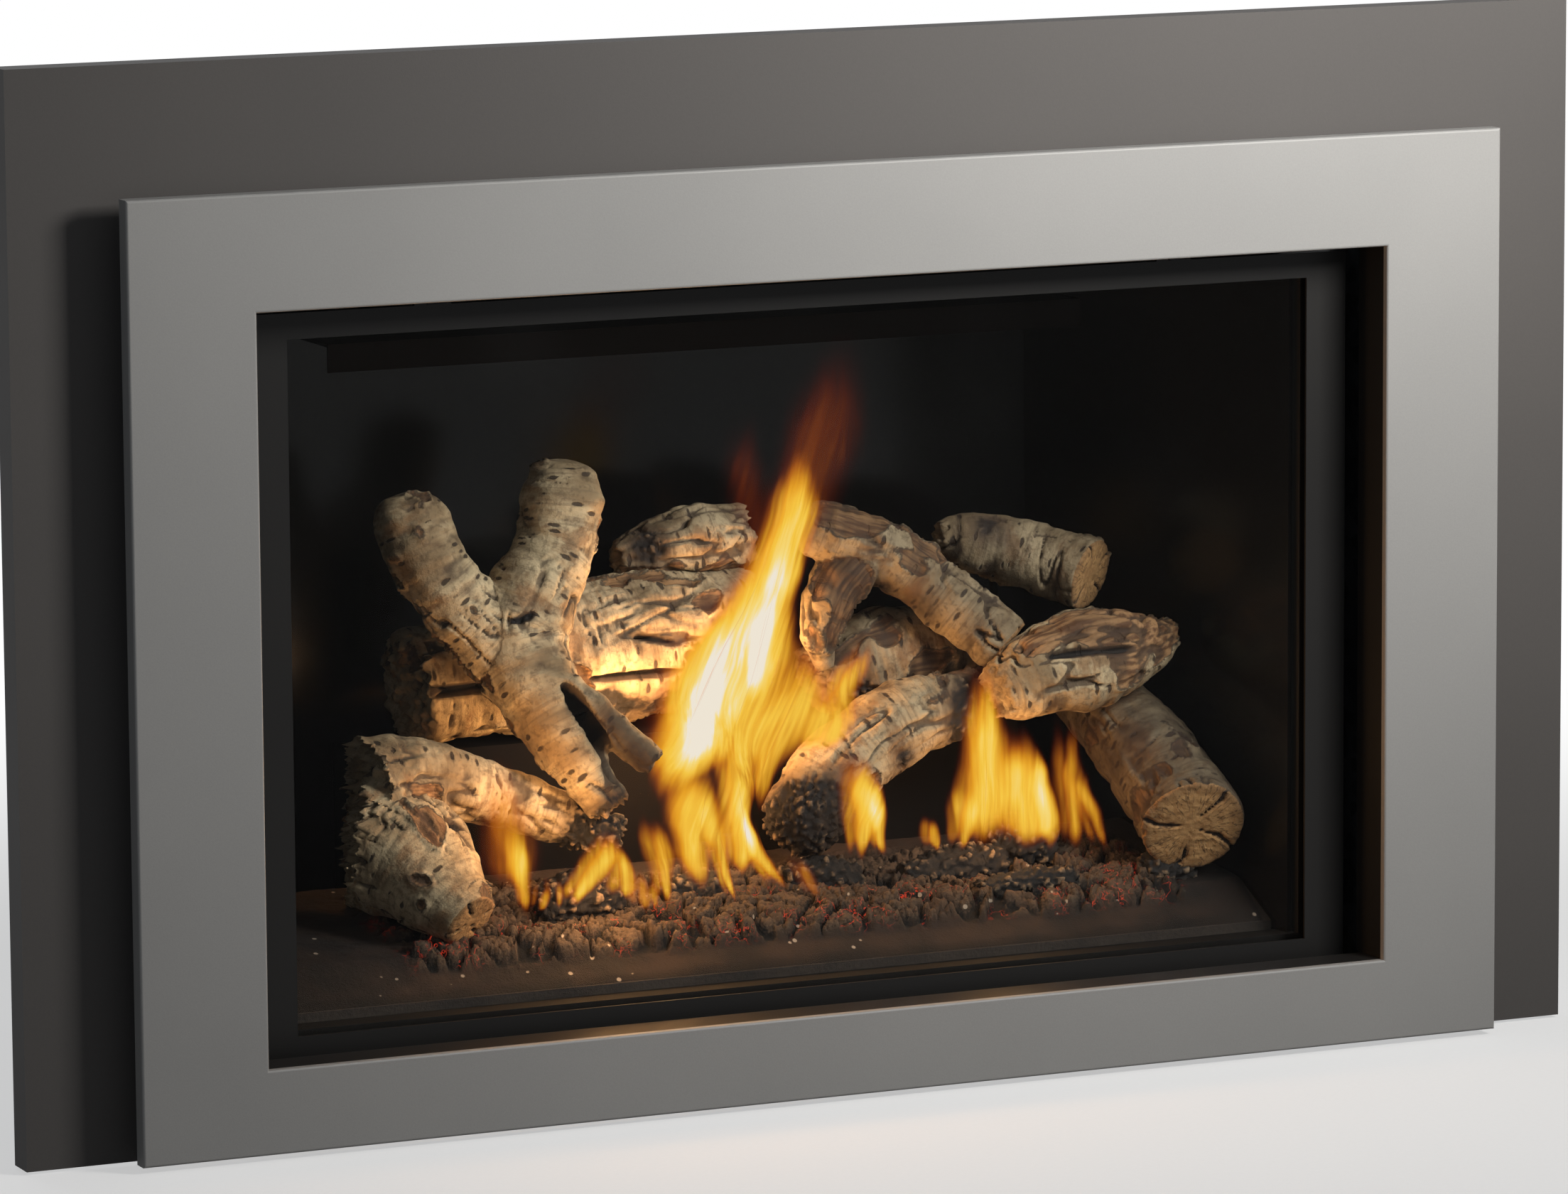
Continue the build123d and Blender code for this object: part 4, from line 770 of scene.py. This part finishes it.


# Each log: its limbs as (x, depth, z, radius) stations, then what make_log is told about it.
# soot darkens a whole log, partly as smoke and partly as painted shade on the logs deeper in shade; the dark
# patches are painted shade on undersides and shadowed places, with some weathering.
LOGS = {
    "left_front_log": dict(
        limbs=[[(-256, 178, 158, 41), (-246, 174, 156, 43), (-229, 152, 146, 40), (-216, 127, 129, 30),
                (-206, 107, 114.5, 18.5)],
               [(-243, 178, 190, 36), (-224, 178, 194, 29), (-200, 176, 191, 24), (-158, 174, 178, 19),
                (-120, 165, 163, 17.5), (-86, 152, 149, 14)]],
        seed=11, cracks=1.5, sawn=[(0, -1)], torn=[(0, 0), (1, 0), (1, -1)],
        charred=[(-100, 158, 150, 28, 1.1), (-170, 162, 152, 16, 0.9), (-85, 150, 150, 25, 0.9)],
        peeled=[(-232, 138, 186, 20, 0.6), (-226, 122, 172, 13, 0.5), (-240, 118, 146, 16, 0.3),
                (-168, 155, 186, 12, 0.4)],
        flaked=[(-206, 126, 168, 16, 1), (-212, 140, 184, 16, 1), (-190, 148, 178, 16, 0.9),
                (-226, 152, 206, 14, 0.8), (-138, 156, 172, 16, 0.7)],
        shade_and_stain=[(-194, 140, 168, 12, 0.6), (-212, 128, 178, 8, 0.5)],
        splits=[((-214, 128, 176), (-190, 138, 160), 2.2, 3),
                ((-232, 136, 176), (-212, 122, 158), 1.2, 2.2)]),
    "left_fork_log": dict(
        limbs=[[(-97, 217, 384, 10), (-97, 217, 378, 19), (-98, 215, 362, 26), (-105, 208, 331, 25.5),
                (-122, 201, 303, 30), (-136, 197, 275, 33.5), (-131, 178, 245, 28), (-119, 157, 211, 20.5),
                (-98, 140, 172, 14)],
               [(-207, 220, 368, 10), (-205, 219, 362, 19), (-200, 216, 349, 24), (-189, 207, 321, 24.5),
                (-171, 200, 293, 25), (-146, 192, 266, 24)],
               [(-131, 176, 254, 11), (-113, 158, 241, 12), (-96, 150, 225, 12), (-68, 138, 198, 10)]],
        seed=23, soot=0.03, cracks=1.3, torn=[(0, -1)],
        shade_and_stain=[(-98, 140, 228, 14, 0.7), (-88, 134, 210, 14, 0.8), (-74, 132, 196, 14, 0.9),
                  (-96, 131, 180, 14, 0.6)],
        charred=[(-97, 134, 170, 14, 1.2), (-68, 134, 196, 9, 1)],
        peeled=[(-203, 200, 362, 22, 0.9), (-88, 196, 345, 14, 0.7), (-112, 190, 352, 8, 0.6)],
        splits=[((-122, 150, 250), (-88, 132, 182), 4.5, 6.5),
                ((-150, 172, 290), (-134, 166, 296), 1.4, 2.5)],
        flaked=[(-150, 170, 290, 12, 0.9), (-122, 176, 316, 12, 0.9), (-106, 136, 190, 10, 0.7)]),
    "rear_log": dict(
        limbs=[[(-186, 258, 236, 37), (-140, 259, 241, 40), (-72, 259, 250, 46), (-16, 260, 255, 47),
                (52, 261, 258, 40)]],
        seed=37, soot=0.1, bare=0.05,
        charred=[(-66, 225, 218, 18, 1.2), (-20, 222, 208, 24, 1)],
        splits=[((-192, 222, 239.5), (-96, 217, 242), 2.4, 5), ((-76, 215, 241), (-12, 213, 242), 1.2, 4),
                ((-44, 214, 268), (-20, 214, 262), 1, 3)],
        flaked=[(-60, 222, 288, 16, 0.8), (-20, 224, 290, 18, 0.6)]),
    "rear_top_log": dict(
        limbs=[[(-38, 266, 311, 11), (-14, 267, 312, 21), (20, 268, 315, 24.5), (54, 268, 321, 19)]],
        seed=41, soot=0.3, bare=0.3, cracks=1.6, charred=[(-20, 255, 318, 16, 0.8)],
        flaked=[(10, 250, 325, 40, 1)]),
    "arch_log": dict(
        limbs=[[(70, 233, 330, 8), (87, 229, 325, 18), (113, 223, 315, 21), (136, 219, 305, 21),
                (160, 212, 288, 21), (181, 199, 268, 21), (202, 184, 247, 19)],
               [(118, 221, 308, 17), (98, 218, 292, 18), (87, 215, 274, 16.5), (83, 214, 256, 12),
                (88, 217, 237, 6)]],
        seed=53, soot=0.5, cracks=1.6, sawn=[(0, -1)], torn=[(0, 0)], charred=[(128, 212, 290, 12, 0.6)],
        peeled=[(100, 205, 312, 16, 0.55), (140, 197, 300, 16, 0.55), (176, 184, 262, 16, 0.5),
                (80, 204, 292, 12, 0.5)],
        flaked=[(120, 203, 318, 12, 0.8), (160, 196, 298, 12, 0.8), (94, 201, 300, 10, 0.6)],
        shade_and_stain=[(100, 208, 296, 14, 0.5), (150, 200, 278, 16, 0.4)]),
    "center_rear_log": dict(
        limbs=[[(92, 240, 222, 24), (122, 242, 232, 31), (160, 243, 236, 31), (206, 244, 232, 27)]],
        seed=61, soot=0.42, bare=0.25, charred=[(110, 215, 215, 20, 0.7)]),
    "center_front_log": dict(
        limbs=[[(38, 176, 132, 15), (52, 178, 145, 26), (88, 185, 181, 27.5), (127, 190, 201, 27),
                (173, 193, 211, 22), (208, 196, 219, 13)]],
        seed=71, soot=0.24, bare=0.1, cracks=1.5,
        charred=[(45, 165, 138, 32, 1.3), (68, 160, 150, 22, 0.9), (176, 176, 205, 26, 1.1),
                 (205, 190, 215, 22, 1), (120, 168, 182, 12, 0.6)],
        flaked=[(104, 165, 205, 20, 0.9), (80, 162, 176, 14, 0.8), (140, 166, 206, 16, 0.7)]),
    "right_mid_log": dict(
        limbs=[[(183, 160, 221, 18), (200, 162, 226, 26), (226, 164, 233, 31), (256, 166, 238, 33),
                (288, 165, 243, 24), (314, 161, 252, 9)]],
        seed=83, soot=0, cracks=1.5,
        peeled=[(236, 150, 270, 24, 1.1), (266, 148, 268, 20, 1.1), (290, 146, 262, 16, 1),
                (206, 146, 258, 16, 1)],
        flaked=[(230, 146, 264, 20, 1), (262, 146, 264, 20, 1), (292, 150, 260, 14, 1),
                (206, 146, 254, 12, 0.9)],
        shade_and_stain=[(252, 146, 264, 30, 0.35), (225, 146, 206, 16, 0.5), (250, 146, 210, 16, 0.5)],
        splits=[((200, 138, 247), (296, 134, 248), 1.6, 3), ((196, 134, 208), (262, 134, 214), 1.6, 3.5)]),
    "rear_right_log": dict(
        limbs=[[(187, 255, 311, 9), (197, 255, 309, 17), (218, 250, 304, 21), (243, 238, 297, 23),
                (262, 221, 291, 24), (274, 205, 286, 24)]],
        seed=97, soot=0.42, cracks=1.3, sawn=[(0, -1)], torn=[(0, 0)], charred=[(215, 238, 318, 18, 0.6)]),
    "right_front_log": dict(
        limbs=[[(297, 104, 133, 34), (300, 118, 140, 34.5), (297, 140, 155, 33.5), (293, 165, 174, 31.5),
                (288, 196, 190, 29.5), (284, 236, 204, 25)]],
        seed=101, soot=0.76, sawn=[(0, 0)], torn=[(0, -1)],
        charred=[(256, 150, 172, 16, 0.5), (275, 108, 148, 10, 0.5)],
        peeled=[(262, 140, 150, 24, 0.5), (268, 112, 150, 18, 0.45)],
        flaked=[(262, 128, 158, 18, 0.8), (270, 170, 188, 20, 0.5)],
        splits=[((266, 100, 124), (252, 165, 150), 1.5, 4)]),
}


def make_logs():
    for name, about in LOGS.items():
        make_log(name, **about)


COAL_BLOCKS = [((-146, 148, 106, 15), (-118, 150, 114, 19), (-88, 153, 108, 14)),
               ((36, 170, 106, 12), (60, 167, 110, 15), (86, 162, 104, 12)),
               ((114, 157, 104, 12), (148, 158, 108, 15), (186, 159, 108, 14)),
               ((186, 180, 112, 16), (208, 176, 118, 20), (230, 172, 112, 15)),
               ((-54, 168, 102, 12), (-28, 172, 106, 13), (-2, 176, 104, 12)),
               ((-218, 200, 106, 14), (-190, 196, 112, 18), (-162, 192, 106, 14)),
               ((276, 130, 98, 13), (292, 130, 104, 15), (308, 131, 98, 13)),
               ((150, 122, 100, 8), (184, 124, 102, 10), (222, 125, 102, 9))]


def make_coal_blocks():
    """The burnt lumps that prop the front logs, crumbled all over."""
    all_over = [(20, 165, 110, 900, 1.4)]
    make_log("coal_blocks", COAL_BLOCKS, seed=131, torn=(), charred=all_over, bare=-3.0,
             stands_for="charcoal", slot="char_ceramic")


# ---- ember bed ----
# The moulded bed: the depths of its front, its brow and its rear, and its height at each.
BED_DEPTHS, BED_HEIGHTS = (80.5, 112.0, 244.5), (72.0, 94.0, 113.0)
BED_HALF = 337.0
# The lumps of coal fade in between the two places of each pair: from the left, right, front and rear.
FIRE_ENDS = ((-258, -236), (300, 276), (95, 102), (238, 190))
EMBER_STEP = 1.3


def make_embers():
    """The coals: one closed skin over the moulded bed, cracked into lumps that are tallest by the slots."""
    xs = np.arange(-BED_HALF, BED_HALF + EMBER_STEP / 2, EMBER_STEP)
    depths = np.arange(BED_DEPTHS[0], BED_DEPTHS[-1], EMBER_STEP)
    x, d = (grid.ravel() for grid in np.meshgrid(xs, depths))
    flat = layer(x, d, 0)
    fire = math.prod(smooth(values, *ends) for values, ends in zip((x, x, d, d), FIRE_ENDS))

    bent = flat + layer(waves(flat / 24, 201), waves(flat / 24, 202), 0) * 5.0
    across, back = bent[:, 0] * 0.8, bent[:, 1]
    slant = layer(across + back, across - back, 12)
    seam, owner, away = lumps(slant / 25, 203, 0.95)
    block = smooth(seam + 0.09 * rough_waves(flat / 7, 208, 2), 0.06, 0.17)
    block = block * (0.55 + 0.45 * smooth(lumps(slant / 11 + 5, 209)[0], 0.02, 0.14))
    lean = (away[:, :2] * (SCATTER[owner][:, 1:] - 0.5)).sum(axis=1)
    chips = smooth(lumps(bent / 5.2, 204)[0], 0.0, 0.3)
    grit = rough_waves(flat / 3.0, 205, 3)

    height = fire * (block * (4.5 + 5.5 * SCATTER[owner, 0] + 13.0 * lean) + chips * 1.3 * block + grit * 0.8)
    slope = (1 - fire) * (0.9 + 0.9 * rough_waves(flat / 26, 206, 4) + 0.25 * grit)
    lift = np.maximum(height + slope, 0.35)
    edge = np.minimum(smooth(abs(x), BED_HALF, BED_HALF - 6), smooth(d, BED_DEPTHS[0], BED_DEPTHS[0] + 5))
    floor = np.interp(d, BED_DEPTHS, BED_HEIGHTS)
    top = [spot(*p) for p in zip(x, d, floor + 0.4 + lift * edge)]
    under = [spot(*p) for p in zip(x, d, floor - 1.0)]

    count = len(x)
    number = np.arange(count).reshape(len(depths), len(xs))
    faces = grid_faces(number)
    rim = np.concatenate([number[0], number[1:, -1], number[-1, -2::-1], number[-2:0:-1, 0]])
    after = np.roll(rim, -1)
    sides = np.stack([rim, rim + count, after + count, after], axis=1)
    mesh = mesh_of("ember_bed", top + under, np.vstack([faces, faces[:, ::-1] + count, sides]))
    bed = on_casing("ember_bed", mesh, "live_embers")
    relief = (block * (0.62 + 0.3 * lean) + chips * 0.25) * fire + 0.5 * (1 - fire)
    # Painted shade: darker towards the bed's left and right ends and along its front edge.
    far = smooth(abs(x + 4), 262, 330) + smooth(d, 88, 81) * 0.8
    warm = smooth(waves(flat / 24, 207), -0.1, 0.35) * fire * smooth(d, 185, 130)
    none, full = np.zeros(count), np.ones(count)
    keep_on(bed, relief=np.append(relief, none), far=np.append(far, full),
            smooth_slope=np.append(1 - fire, full), glow=np.append(warm, none))
    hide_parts("charcoal")


# ---- screws ----
CORNERS = 12
# A screw's rings, from the sheet outwards: radius, height and whether it is round (0) or hexagonal (1).
SCREW_RINGS = [(5.6, -0.6, 0.0), (5.6, 0.6, 0.0), (5.0, 1.0, 0.0), (4.2, 1.0, 1.0), (4.2, 3.2, 1.0),
               (3.4, 3.8, 0.6)]
LEFT, RIGHT, BACK, UP = (-1, 0, 0), (1, 0, 0), (0, 1, 0), (0, 0, 1)
# Each screw: the way out of its sheet, and its (x, depth, z).
SCREWS = [(out, (out[0] * 400, d, z)) for out in (LEFT, RIGHT) for d in (66, 132, 196) for z in (30, 572)]
SCREWS += [(BACK, (x, 400, z)) for x in (-314, 314) for z in (36, 170, 304, 438, 572)]
SCREWS += [(BACK, (x, 400, 572)) for x in (-160, 0, 160)]
SCREWS += [(UP, (x, 384, 590)) for x in (-300, -150, 0, 150, 300)]


def make_screws():
    """Hexagon washer-head sheet screws along the casing's seams."""
    turn = np.arange(CORNERS) * 2 * math.pi / CORNERS
    hexagon = math.cos(math.pi / 6) / np.cos((turn + math.pi / 6) % (math.pi / 3) - math.pi / 6)
    points, faces = [], []
    for out, place in SCREWS:
        faces += tube_faces(len(points), len(SCREW_RINGS), CORNERS)
        out = np.array(out, float)
        side = np.cross(out, (0.0, 0.6, 0.8) if abs(out[0]) else (1.0, 0.0, 0.0))
        side /= norm(side)
        ring = np.cos(turn)[:, None] * side + np.sin(turn)[:, None] * np.cross(out, side)
        for radius, height, hexed in SCREW_RINGS:
            reach = radius * (1 - hexed + hexed * hexagon)
            points += [spot(*p) for p in np.array(place) + reach[:, None] * ring + out * height]
    on_casing("casing_screws", mesh_of("casing_screws", points, faces), "zinc_plate", smoothed=False)


# ---- flames ----
# Each tongue: its depth, its strength, then its x, its z and its half width, each from foot to tip.
TONGUES = [
    (176, 1.15, (-59, -49, -37, -24, -13, -2, 11, 23, 31, 37),
     (167, 186, 203, 223, 245, 265, 285, 305, 327, 350),
     (2.2, 7, 15.9, 21.1, 21.1, 18.5, 14.1, 10.6, 7.5, 4)),
    (170, 1.25, (-47, -35, -25, -15, -9, -4), (189, 206, 224, 244, 262, 278),
     (3.1, 6.6, 8.4, 7.5, 4.8, 2.2)),
    (181, 1, (-9, -6, -1, 8, 18, 26, 33, 40, 45, 49, 51),
     (152, 170, 193, 215, 238, 262, 287, 312, 337, 360, 383),
     (2.6, 8.8, 17.6, 20.3, 19.4, 16.7, 13.2, 10.6, 8.4, 5.7, 2.6)),
    (173, 1, (16, 20, 22, 27, 31), (227, 248, 266, 284, 302), (2.6, 5.3, 5.3, 4.4, 2.2)),
    (186, 0.9, (19, 25, 35, 46, 54, 54, 54), (153, 174, 194, 214, 232, 250, 271),
     (2.2, 7, 13.2, 15, 12.3, 7.9, 3.5)),
    (190, 0.9, (53, 64, 75, 86, 94, 101, 106), (187, 203, 218, 230, 241, 251, 263),
     (2.6, 7.5, 10.1, 8.8, 6.6, 4, 1.3)),
    (183, 0.7, (34, 40, 46, 50, 53, 56), (287, 309, 332, 353, 371, 387), (8.8, 12.3, 13.2, 10.6, 6.2, 2.2)),
    (180, 0.24, (28, 23, 16, 14, 15, 16), (306, 334, 357, 381, 403, 421), (7, 11, 11, 9, 7, 3)),
    (186, 0.3, (46, 52, 58, 66, 72, 77, 81, 85, 87), (313, 338, 359, 379, 399, 419, 438, 453, 467),
     (11, 17, 21, 22, 21, 19, 15, 10, 4)),
    (178, 0.3, (-48, -34, -12, 10, 30), (186, 222, 262, 300, 336), (14, 30, 34, 26, 14)),
    (124, 0.85, (-68, -67, -65, -66, -68), (110, 123, 138, 152, 166), (1.8, 5.7, 8.4, 6.6, 2.6)),
    (121, 1.05, (-41, -42, -44, -44, -41, -38, -35), (115, 126, 139, 156, 171, 187, 203),
     (1.3, 3.5, 6.2, 7.9, 8.4, 6.2, 2.2)),
    (120, 1, (-16, -21, -26, -30, -32, -33), (104, 117, 134, 150, 166, 184), (0.9, 2.2, 4, 4.8, 4.8, 2.2)),
    (123, 1, (-9, -10, -11, -13, -16, -19), (120, 132, 148, 164, 183, 203), (1.3, 5.7, 8.8, 8.8, 6.2, 2.2)),
    (118, 0.95, (16, 11, 4, -2, -7, -11), (111, 120, 131, 143, 158, 174), (1.3, 3.1, 4, 4, 3.5, 1.3)),
    (118, 0.5, (35, 32, 29, 28), (106, 115, 126, 134), (1.3, 3.5, 4.4, 1.8)),
    (130, 1, (69, 71, 73, 75, 75, 76), (125, 138, 154, 172, 188, 200), (1.3, 4, 7, 7, 4.8, 1.3)),
    (130, 0.95, (86, 83, 80, 78), (128, 141, 158, 176), (1.3, 3.5, 4.4, 2.2)),
    (135, 0.8, (126, 124, 123, 122), (127, 135, 143, 151), (1.3, 4.4, 3.5, 1.3)),
    (150, 1.1, (167, 169, 170, 171, 170, 169, 168, 167), (122, 138, 156, 175, 194, 212, 231, 250),
     (4.4, 12.3, 14.5, 14.1, 11, 7.5, 5.3, 1.8)),
    (148, 0.75, (148, 150, 153, 156), (123, 134, 149, 165), (1.8, 5.7, 6.6, 3.1)),
    (152, 0.95, (198, 198, 198, 197, 195, 193), (118, 135, 154, 172, 189, 205),
     (4.4, 11.5, 12.8, 10.6, 5.7, 1.8)),
    (150, 0.8, (215, 213, 210, 207, 204), (116, 132, 151, 170, 189), (1.8, 5.3, 5.7, 4.4, 1.8)),
    (150, 0.7, (231, 231, 231, 229, 228, 227), (116, 130, 149, 170, 191, 208),
     (1.3, 4.4, 5.7, 5.3, 3.5, 1.3)),
    (150, 0.65, (255, 250, 245, 239, 236), (114, 126, 141, 158, 174), (1.3, 3.5, 4.4, 3.1, 1.3)),
    (118, 0.5, (-176, -176, -176, -178, -180, -183, -184), (128, 142, 160, 176, 192, 208, 222),
     (6.2, 12.8, 14.1, 12.8, 9.7, 6.2, 2.2)),
    (116, 0.85, (-164, -166, -169, -171, -174), (113, 123, 137, 153, 172), (1.3, 3.1, 4, 4.4, 2.2)),
    (117, 0.6, (-157, -155, -153), (115, 124, 133), (1.3, 2.6, 1.8)),
    (117, 0.6, (-146, -145, -146), (116, 126, 137), (1.3, 2.6, 1.8)),
    (118, 1, (-134, -130, -123, -115, -110, -104), (116, 125, 135, 146, 156, 165),
     (1.8, 5.3, 7, 7.9, 5.7, 1.8)),
    (119, 0.9, (-99, -99, -99, -101, -103), (117, 125, 135, 147, 157), (1.8, 5.3, 5.3, 3.5, 1.3)),
    (119, 0.6, (-85, -86, -87, -89), (108, 117, 127, 139), (1.3, 4, 3.5, 1.3)),
    (119, 0.5, (-78, -79, -80), (108, 119, 131), (0.9, 2.6, 1.3)),
]
FLAME_STEP = 1.6
TONGUE_STEPS, TONGUE_ACROSS = 26, 12
FLAME_X, FLAME_Z = (-225, 290), (96, 475)
SPREAD, OUT = 1.75, 0.01
# The first tongue's pull everywhere, so that a sheet has a depth where no tongue is near.
FAINT = 1e-6
# Each sheet that faces out: its seed, how far it lies behind the tongues' own depth, and its strength.
SHEETS = [(301, -6, 1.1), (331, 8, 0.75)]
CROSS_TURN, CROSS_STRENGTH = math.radians(114.2), 0.5


def burning(x, z, seed):
    """How thick the flame is at points of the sheet that faces out, and how deep the sheet lies there."""
    flat = layer(x, z, seed)
    licked = x + 2.6 * waves(flat / (20, 34, 1), seed) + 1.1 * waves(flat / (7, 16, 1), seed + 1)
    total = np.zeros(len(x))
    weight = np.full(len(x), FAINT)
    depth = weight * TONGUES[0][0]
    for back, heat, middles, heights, halves in TONGUES:
        share = (z - heights[0]) / (heights[-1] - heights[0])
        off = licked - np.interp(z, heights, middles)
        gap = abs(off) / (np.interp(z, heights, halves) * SPREAD)
        fade = smooth(share, -0.03, 0.2) * smooth(share, 1.04, 0.55)
        total += heat * np.clip(1 - gap ** 2, 0, 1) ** 1.5 * fade
        past_end = np.maximum(abs(share - 0.5) - 0.5, 0)
        pull = np.exp(-(off / 18) ** 2 - (past_end * 4) ** 2)
        weight += pull
        depth += pull * back
    return total, depth / weight


def flame_sheet(seed, behind, strength):
    """One wavy sheet along all the tongues, kept only where it burns."""
    xs = np.arange(*FLAME_X, FLAME_STEP)
    zs = np.arange(*FLAME_Z, FLAME_STEP * 1.5)
    x, z = (grid.ravel() for grid in np.meshgrid(xs, zs))
    total, depth = burning(x, z, seed)
    depth = depth + behind + 5 * waves(layer(x, z, seed + 9) / 30, seed + 2)
    faces = grid_faces(np.arange(len(x)).reshape(len(zs), len(xs)))
    faces = faces[(total[faces] > OUT).any(axis=1)]
    used = np.unique(faces)
    renumber = np.zeros(len(x), int)
    renumber[used] = np.arange(len(used))
    # The strands follow the tall flames in the middle, which lean to the right as they rise.
    lean = np.interp(z, [150, 300, 420], [0, 62, 100]) * smooth(abs(x - 20), 110, 60)
    place = np.column_stack([x - lean, depth + seed * 40.0, z]) * MM
    points = np.column_stack([x, depth, z])
    return points[used], renumber[faces], {"blaze": total[used] * strength, "flame_place": place[used]}


def cross_sheet(number, depth, heat, *knots):
    """A narrow curved sheet through one tongue, edge-on to the camera."""
    marks = np.linspace(0, 1, len(knots[0]))
    fine = np.linspace(0, 1, TONGUE_STEPS)
    x, z, half = (np.interp(fine, marks, k) for k in knots)
    across = np.linspace(-1, 1, TONGUE_ACROSS)
    sideways = half[:, None] * across[None, :] * SPREAD
    wide = x[:, None] + sideways * math.cos(CROSS_TURN)
    deep = depth - sideways * math.sin(CROSS_TURN)
    high = np.repeat(z[:, None], TONGUE_ACROSS, axis=1)
    points = np.stack([wide, deep, high], axis=-1).reshape(-1, 3)
    faces = grid_faces(np.arange(len(points)).reshape(TONGUE_STEPS, TONGUE_ACROSS))
    fade = smooth(fine, 0.0, 0.2) * smooth(fine, 1, 0.55)
    blaze = heat * CROSS_STRENGTH * fade[:, None] * (1 - across[None, :] ** 2) ** 1.5
    return points, faces, {"blaze": blaze.ravel(), "flame_place": points * MM + number * 0.31}


def make_flames():
    """Two wavy sheets along the tongues, and a narrow one across each tongue for the views from the side."""
    sheets = [flame_sheet(*sheet) for sheet in SHEETS]
    sheets += [cross_sheet(number, *tongue) for number, tongue in enumerate(TONGUES)]
    starts = np.cumsum([0] + [len(points) for points, *_ in sheets])
    placed = [spot(*p) for p in np.vstack([points for points, *_ in sheets])]
    faces = np.vstack([sides + start for (_, sides, _), start in zip(sheets, starts)])
    flames = on_casing("flame_tongues", mesh_of("flame_tongues", placed, faces), "gas_flame")
    for name in ("blaze", "flame_place"):
        keep_on(flames, **{name: np.concatenate([carried[name] for *_, carried in sheets])})
    flames.visible_shadow = False
    flames.visible_diffuse = False


# ---- light, floor and camera ----
def lamp(name, kind, place, power, colour, size, aim=None):
    """A light of a power in watts, turned to a point where it is aimed."""
    light = bpy.data.lights.new(name, kind)
    light.energy = power
    light.color = colour
    setattr(light, "size" if kind == "AREA" else "shadow_soft_size", size)
    holder = linked(name, light)
    holder.location = place
    if aim is not None:
        holder.rotation_euler = (Vector(aim) - Vector(place)).to_track_quat("-Z", "Y").to_euler()
    return light


# The fire's light: x, depth, z and watts of each lamp.
FIRE_LAMPS = [(-5, 178, 236, 0.5), (34, 200, 256, 0.3), (175, 128, 160, 0.22), (-110, 104, 140, 0.3),
              (-30, 196, 170, 0.3), (-66, 196, 222, 0.28), (-168, 92, 200, 0.24)]
FIRE_COLOUR = (1.0, 0.52, 0.2)
DAYLIGHT, SKY, NORTH_SKY = (1.0, 0.97, 0.93), (0.82, 0.9, 1.0), (0.92, 0.96, 1.0)
WINDOW_SPREAD = math.radians(100)


def light_the_room():
    window = lamp("window_right", "AREA", (0.76, -1.23, 1.10), 9.6, DAYLIGHT, 0.45, (0.22, -0.1, 0.78))
    window.spread = WINDOW_SPREAD
    lamp("sky_left", "AREA", (-1.9, -1.8, 1.0), 1.8, SKY, 1.4, (-0.2, -0.2, 0.3))
    for number, (x, depth, z, power) in enumerate(FIRE_LAMPS):
        lamp(f"fire_{number}", "POINT", spot(x, depth, z), power, FIRE_COLOUR, 0.02)
    lamp("sky_back", "AREA", (-0.5, 2.6, 1.7), 12.0, NORTH_SKY, 1.6, (0.0, 0.2, 0.3))
    f = Finish("room", bpy.data.worlds.new("room"))
    dim = f.node("ShaderNodeBackground", sockets=((0.86, 0.92, 1.0, 1.0), 0.1))
    bright = f.node("ShaderNodeBackground", sockets=((1.0, 1.0, 1.0, 1.0), 1.0))
    shader = f.node("ShaderNodeMixShader", sockets=(f.looked_at(), dim, bright))
    bpy.context.scene.world = f.done(shader, "World")


def pale_floor():
    """A plain pale floor: white where the camera looks at it far off, and dull grey to the part's light."""
    f = Finish("pale_floor")
    where = f.where()
    speckle = f.noise(where, 300)
    seen = f.mix(speckle, (226, 226, 225), (234, 234, 233))
    base = f.mix(f.looked_at(), (112, 111, 110), seen)
    reach = f.node("ShaderNodeVectorMath", {"operation": "LENGTH"}, (where,), out="Value")
    lit = f.body(Base_Color=base, Roughness=0.8)
    white = f.node("ShaderNodeEmission", sockets=(paint(255, 255, 255), 1.0))
    share = f.looked_at() * (reach.rise(0.55, 1.5) * 0.5 + 0.5)
    return f.done(f.node("ShaderNodeMixShader", sockets=(share, lit, white)))


def lay_floor():
    half = 9.0
    corners = [(-half, -half, 0), (half, -half, 0), (half, half, 0), (-half, half, 0)]
    mesh = mesh_of("floor", corners, [(0, 1, 2, 3)])
    mesh.materials.append(pale_floor())
    floor = linked("floor", mesh)


CAMERA_PLACE = (-2.0898, -4.7656, 1.1085)
CAMERA_YAW, CAMERA_PITCH, CAMERA_ROLL = 0.4222, 0.1558, -0.0067
LENS, SENSOR = 188.63, 36.0


def set_camera():
    """The photograph's camera: to the left of the unit and a little above it, with a long lens."""
    data = bpy.data.cameras.new("view")
    data.lens = LENS
    data.sensor_width = SENSOR
    data.sensor_fit = "HORIZONTAL"
    camera = linked("view", data)
    turns = ((-CAMERA_YAW, "Z"), (math.pi / 2 - CAMERA_PITCH, "X"), (CAMERA_ROLL, "Z"))
    camera.matrix_world = Matrix.Translation(CAMERA_PLACE)
    for angle, axis in turns:
        camera.matrix_world = camera.matrix_world @ Matrix.Rotation(angle, 4, axis)
    bpy.context.scene.camera = camera


dress_solids()
make_logs()
make_coal_blocks()
make_embers()
make_screws()
make_flames()
lay_floor()
light_the_room()
set_camera()
bpy.context.scene.view_settings.view_transform = "Standard"
